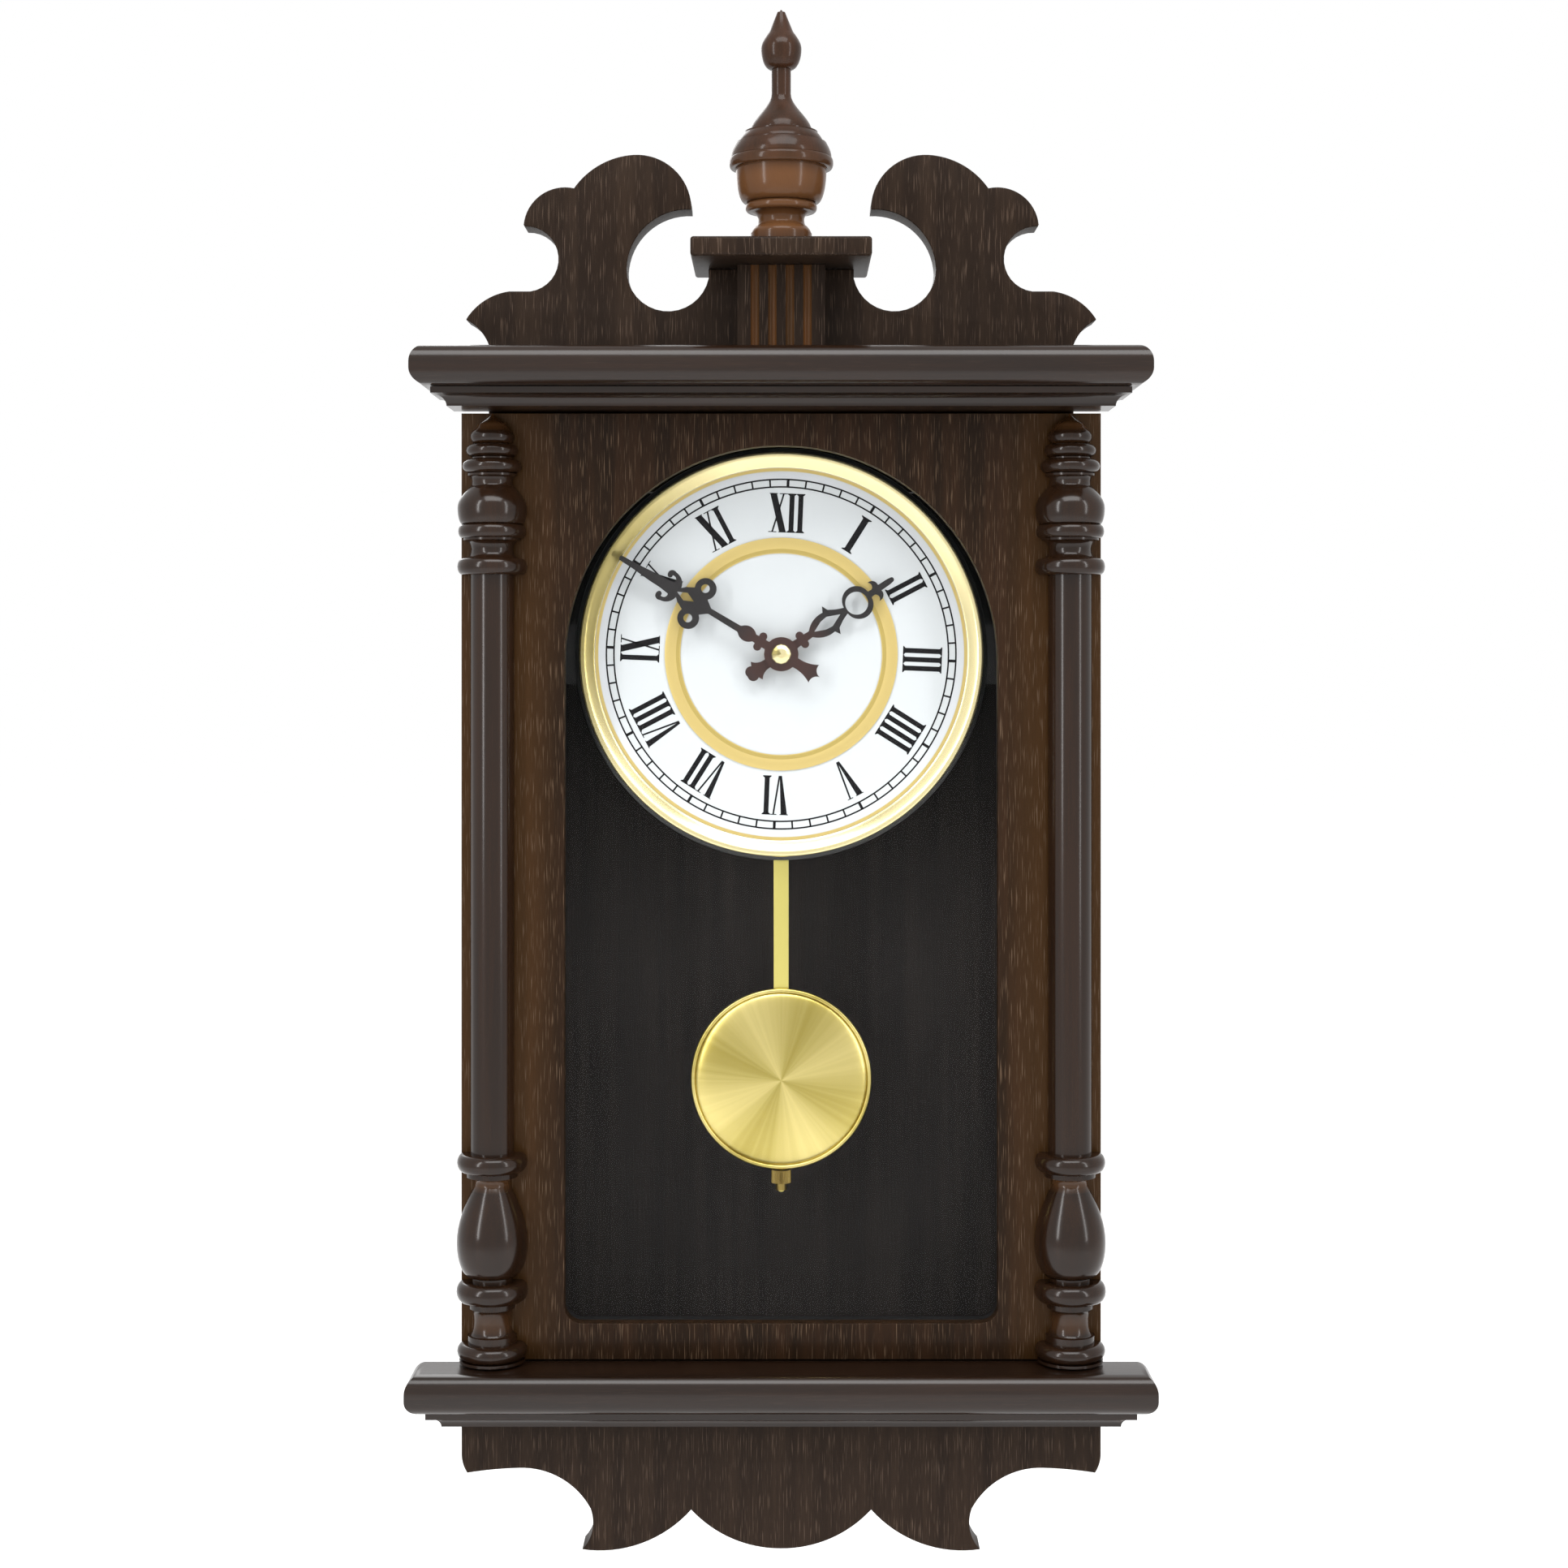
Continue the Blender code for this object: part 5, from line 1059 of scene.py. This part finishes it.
# ================================================================ hands
class CLOCK_OT_hands(ClockPiece, bpy.types.Operator):
    """Two pierced serpentine hands and the faceted nut"""
    bl_idname = "clock.hands"
    bl_label = "Hands"

    def build(self, context, looks):
        hub = 0.0079
        hour = trace((0.0, -0.0187), [
            ((-0.0034, -0.0172), (-0.0031, -0.0146)), (-0.0050, -0.0136),
            ((-0.0032, -0.0118), (-0.0023, -0.0095)),
            (-0.0022, -hub * 0.96), ((-hub, 0.0), (-0.0020, hub * 0.96)),
            (-0.0018, 0.0100), ((-0.0042, 0.0118), (-0.0018, 0.0136)), (-0.0016, 0.0165),
            ((-0.0048, 0.0215), (-0.0052, 0.0265)), (-0.0078, 0.0280), (-0.0050, 0.0292), (-0.0030, 0.0325),
            (-0.0016, 0.0360), ((-0.0078, 0.0421), (-0.0016, 0.0494)), (-0.0014, 0.0512),
            ((-0.0034, 0.0525), (-0.0050, 0.0514)), ((-0.0046, 0.0537), (-0.0015, 0.0550)), (-0.0014, 0.0600),
            (-0.0011, 0.0618), ((-0.0008, 0.0624), (0.0, 0.0627))], 14)
        leaf = mirrored([(0.0, 0.0330), (-0.0026, 0.0270), (-0.0022, 0.0235), (0.0, 0.0185)])
        minute = trace((0.0, -0.0208), [
            ((-0.0018, -0.0180), (-0.0048, -0.0176)), ((-0.0030, -0.0135), (-0.0024, -0.0100)),
            (-0.0024, -hub * 0.96), ((-hub, 0.0), (-0.0020, hub * 0.96)),
            (-0.0020, 0.0095), ((-0.0046, 0.0112), (-0.0020, 0.0130)), (-0.0018, 0.0145),
            ((-0.0036, 0.0180), (-0.0016, 0.0225)), (-0.0014, 0.0385), (-0.0040, 0.0420),
            ((-0.0129, 0.0455), (-0.0058, 0.0500)), (-0.0040, 0.0535), (-0.0024, 0.0552),
            ((-0.0058, 0.0570), (-0.0074, 0.0608)), ((-0.0066, 0.0638), (-0.0040, 0.0634)),
            ((-0.0040, 0.0620), (-0.0054, 0.0616)), ((-0.0050, 0.0596), (-0.0030, 0.0592)), (-0.0024, 0.0640),
            (-0.0022, 0.0700),
            (-0.0014, 0.0790), (-0.0012, 0.0858), ((-0.0009, 0.0866), (0.0, 0.0870))], 14)
        rings = [circle(0.0020, 32, side * 0.0079, 0.0455) for side in (-1, 1)]
        slot = [(0.0, 0.0470), (0.0020, 0.0515), (0.0, 0.0560), (-0.0020, 0.0515)]
        drawn = (("hour_hand", hour, [circle(0.0053, 40, 0.0, 0.0421), leaf], 0.0031, 56, "hour"),
                 ("minute_hand", minute, rings + [slot], 0.0017, 301, "minute"))
        for node, half, holes, bore, angle, body in drawn:
            front = low(node).y
            hand = cut_out(node + "_fine", [mirrored(half), circle(bore, 48)] + holes, front, high(node).y,
                           math.radians(angle), (0.0, DIAL_Z))
            hand_over(shade(hand, 30), body, looks["hand"], "hand_black", node)
        back, rise = high("hand_nut").y, high("hand_nut").y - low("hand_nut").y
        radius = high("hand_nut").x
        nut = turn("hand_nut_fine", [(0, rise), (radius * 0.42, rise), (radius * 0.58, rise * 0.93),
                                     (radius * 0.90, rise * 0.64), (radius, rise * 0.40), (radius, 0.0),
                                     (0.0017, 0.0), (0.0017, rise * 0.66), (0.0, rise * 0.66)],
                   (0, back, DIAL_Z), 12, "Y")
        hand_over(shade(nut, 10), "minute", looks["brass"], "brass", "hand_nut")


# ================================================================ pendulum
class CLOCK_OT_pendulum(ClockPiece, bpy.types.Operator):
    """Strip rod, two-part bob with a rolled rim, and the knurled rating nut"""
    bl_idname = "clock.pendulum"
    bl_label = "Pendulum"

    def build(self, context, looks):
        strip = block("pendulum_rod_fine", low("pendulum_rod"), high("pendulum_rod"), 0.0003, 2)
        hand_over(strip, "pendulum", looks["rod"], "brass", "pendulum_rod")
        axis_y = (low("rating_screw").y + high("rating_screw").y) / 2
        foot = BOB_Z - high("bob_front").x

        face, radius = high("bob_front").y, high("bob_front").x
        rise = face - low("bob_front").y
        rim, roll = 0.0012, 0.0011
        flat = radius - 2 * roll
        dome = [(flat * math.sin(a), rim + (rise - rim) * math.cos(a) ** 1.15)
                for a in [math.pi / 2 * i / 36 for i in range(36)]]
        rolled = [(radius - roll + roll * math.cos(a), rim + roll * math.sin(a))
                  for a in [math.pi * (1 - i / 12) for i in range(13)]]
        front = turn("bob_front_fine", dome + rolled + [(radius, 0), (0, 0)], (0, face, BOB_Z), 160, "Y")
        back_y, back_r = high("bob_back").y, high("bob_back").x
        depth = back_y - low("bob_back").y
        shell = [(0, depth), (back_r, depth), (back_r, 0.0012), (back_r - 0.0008, 0.0004),
                 (back_r - 0.0020, 0), (0, 0)]
        back = turn("bob_back_fine", shell, (0, back_y, BOB_Z), 128, "Y")
        wide, thick = high("pendulum_rod").x + 0.0003, high("pendulum_rod").y + 0.0003
        groove = block("groove", (-wide, low("bob_back").y - 0.001, foot - 0.01),
                       (wide, thick, BOB_Z - foot + BOB_Z + 0.01))
        combine(back, [groove])
        for half in (front, back):
            room = rod("room", 0.0015, (0, axis_y, foot - 0.01),
                       (0, axis_y, low("pendulum_rod").z + 0.0020), 24)
            combine(half, [room])
        hand_over(shade(front, 25), "bob", looks["bob"], "brass", "bob_front")
        hand_over(shade(back, 30), "bob", looks["nut"], "brass", "bob_back")

        top, bottom, outer = high("rating_nut").z, low("rating_nut").z, high("rating_nut").x
        collar = bottom + 0.0034
        knurl = [((outer if i % 2 else outer - 0.0003) * math.cos(TAU * i / 72),
                  (outer if i % 2 else outer - 0.0003) * math.sin(TAU * i / 72)) for i in range(72)]
        nut = cut_out("rating_nut_fine", [knurl, circle(0.00135, 24)], 0, top - collar)
        nut.data.transform(Matrix.Translation((0, axis_y, top)) @ Matrix.Rotation(math.radians(-90), 4, "X"))
        neck = turn("collar", [(0.00135, 0), (0.0027, 0), (0.0027, 0.0034), (0.00135, 0.0034), (0.00135, 0)],
                    (0, axis_y, bottom), 40)
        hand_over(shade(join("rating_nut_fine", [nut, neck]), 40), "rating", looks["nut"], "brass",
                  "rating_nut")
        paint_frame(looks, pendulum_hook="abs", rating_screw="rod", pivot_pin="zinc")


# ================================================================ movement
class CLOCK_OT_movement(ClockPiece, bpy.types.Operator):
    """Ribbed battery cover, knurled setting knob, cells and finishes of the battery movement"""
    bl_idname = "clock.movement"
    bl_label = "Movement"

    def build(self, context, looks):
        foot, head = low("battery_cover"), high("battery_cover")
        skin = head.y - 0.0005
        lid = [block("lid", foot, (head.x, skin, head.z), 0.0004, 2)]
        for i in range(5):
            at = foot.z + 0.0030 + i * 0.0022
            lid.append(block("rib", (-0.0080, skin - 0.0002, at), (0.0080, head.y, at + 0.0010), 0.0002, 1))
        hand_over(join("battery_cover_fine", lid), "lid", looks["abs"], "black_plastic", "battery_cover")

        middle, front, back = (low("set_knob") + high("set_knob")) / 2, low("set_knob").y, high("set_knob").y
        radius, grip = high("set_knob").x, 0.0026
        knurl = [((radius if i % 2 else radius - 0.0004) * math.cos(TAU * i / 60),
                  (radius if i % 2 else radius - 0.0004) * math.sin(TAU * i / 60)) for i in range(60)]
        knob = cut_out("knob", [knurl], back - grip, back, at=(0.0, middle.z))
        ease(knob, lambda co: abs(co.y - back) < FINE, 0.0003, 1)
        stem = rod("stem", 0.0020, (0, front, middle.z), (0, back - grip, middle.z), 32)
        hand_over(shade(join("set_knob_fine", [knob, stem]), 40), "knob", looks["ivory"], "ivory_plastic",
                  "set_knob")
        switch = block("chime_switch_fine", low("chime_switch"), high("chime_switch"), 0.0004, 2)
        hand_over(switch, "switch", looks["ivory"], "ivory_plastic", "chime_switch")
        for node in ("cell_1", "cell_2"):
            start, end = low(node), high(node)
            middle = (start + end) / 2
            cell = rod(node + "_fine", (end.z - start.z) / 2, (start.x, middle.y, middle.z),
                       (end.x, middle.y, middle.z), 48, 0.0005)
            hand_over(cell, "case", looks["cell"], "cell_wrap", node)
        paint_frame(looks, movement_housing="abs", movement_cover="abs", speaker="abs", circuit_board="board",
                    drive_coil="copper")


# ================================================================ studio
class CLOCK_OT_studio(ClockPiece, bpy.types.Operator):
    """Pale floor, soft light from both sides and the camera"""
    bl_idname = "clock.studio"
    bl_label = "Studio"

    def build(self, context, looks):
        studio = context.scene.clock_studio
        clear_selection()
        bpy.ops.mesh.primitive_plane_add(size=60.0, location=(0, 0, -0.80))
        floor = set_down(context.object, "studio_floor")
        matt = finish("Matt white floor", studio.backdrop, 0.9, Specular_IOR_Level=0.0)[0]
        floor.data.materials.append(matt)

        world = bpy.data.worlds.new("Soft white room")
        context.scene.world = world
        world.use_nodes = True
        sky = world.node_tree.nodes["Background"]
        sky.inputs["Color"].default_value = colour(studio.backdrop)
        sky.inputs["Strength"].default_value = 1.0

        aim = Vector((0, FRONT_Y, -0.15))
        for name, place, power, size in (("key", (-1.25, -1.35, 0.45), studio.key, (0.20, 1.6)),
                                         ("fill", (1.35, -1.15, 0.35), studio.key * 0.6, (0.16, 1.6)),
                                         ("top", (0.1, -1.1, 1.5), studio.key * 2.0, (1.6, 0.90)),
                                         ("back", (-0.4, 1.6, 0.8), studio.key * 0.6, (1.2, 1.0))):
            bpy.ops.object.light_add(type="AREA", location=place)
            lamp = context.object
            lamp.name = lamp.data.name = "studio_" + name
            lamp.data.shape = "RECTANGLE"
            lamp.data.size, lamp.data.size_y = size
            lamp.data.energy = power
            lamp.rotation_euler = (aim - lamp.location).to_track_quat("-Z", "Y").to_euler()

        bpy.ops.object.camera_add(location=(0, FRONT_Y - 1.140, -0.0908), rotation=(math.radians(90), 0, 0))
        camera = context.object
        camera.name = camera.data.name = "studio_camera"
        camera.data.sensor_width = 36.0
        camera.data.lens = 57.6
        camera.data.shift_x, camera.data.shift_y = 0.0018, -0.0813
        camera.data.clip_start, camera.data.clip_end = 0.05, 200.0
        context.scene.camera = camera
        context.scene.view_settings.view_transform = "Standard"


# ================================================================ add-on
STEPS = (CLOCK_OT_case, CLOCK_OT_mouldings, CLOCK_OT_crest, CLOCK_OT_door, CLOCK_OT_hinges, CLOCK_OT_dial,
         CLOCK_OT_hands, CLOCK_OT_pendulum, CLOCK_OT_movement, CLOCK_OT_studio)
SETTINGS = {"clock_wood": ClockWood, "clock_dial": ClockDial, "clock_studio": ClockStudio}


class CLOCK_PT_panel(bpy.types.Panel):
    """Settings and build steps of the clock"""
    bl_idname = "CLOCK_PT_panel"
    bl_label = "Pendulum wall clock"
    bl_space_type = "VIEW_3D"
    bl_region_type = "UI"
    bl_category = "Clock"

    def draw(self, context):
        for key, group in SETTINGS.items():
            box = self.layout.box()
            for name in group.__annotations__:
                box.prop(getattr(context.scene, key), name)
        for step in STEPS:
            self.layout.operator(step.bl_idname)


def register():
    """Register the settings, the operators and the panel."""
    for group in (*SETTINGS.values(), *STEPS, CLOCK_PT_panel):
        bpy.utils.register_class(group)
    for key, group in SETTINGS.items():
        setattr(bpy.types.Scene, key, bpy.props.PointerProperty(type=group))


def unregister():
    """Take them out again."""
    for key in SETTINGS:
        delattr(bpy.types.Scene, key)
    for group in (CLOCK_PT_panel, *reversed(STEPS), *SETTINGS.values()):
        bpy.utils.unregister_class(group)


def main():
    """Build the clock step by step."""
    register()
    FINISHES.update(make_finishes())
    for step in STEPS:
        group, name = step.bl_idname.split(".")
        getattr(getattr(bpy.ops, group), name)()


if __name__ == "__main__":
    main()
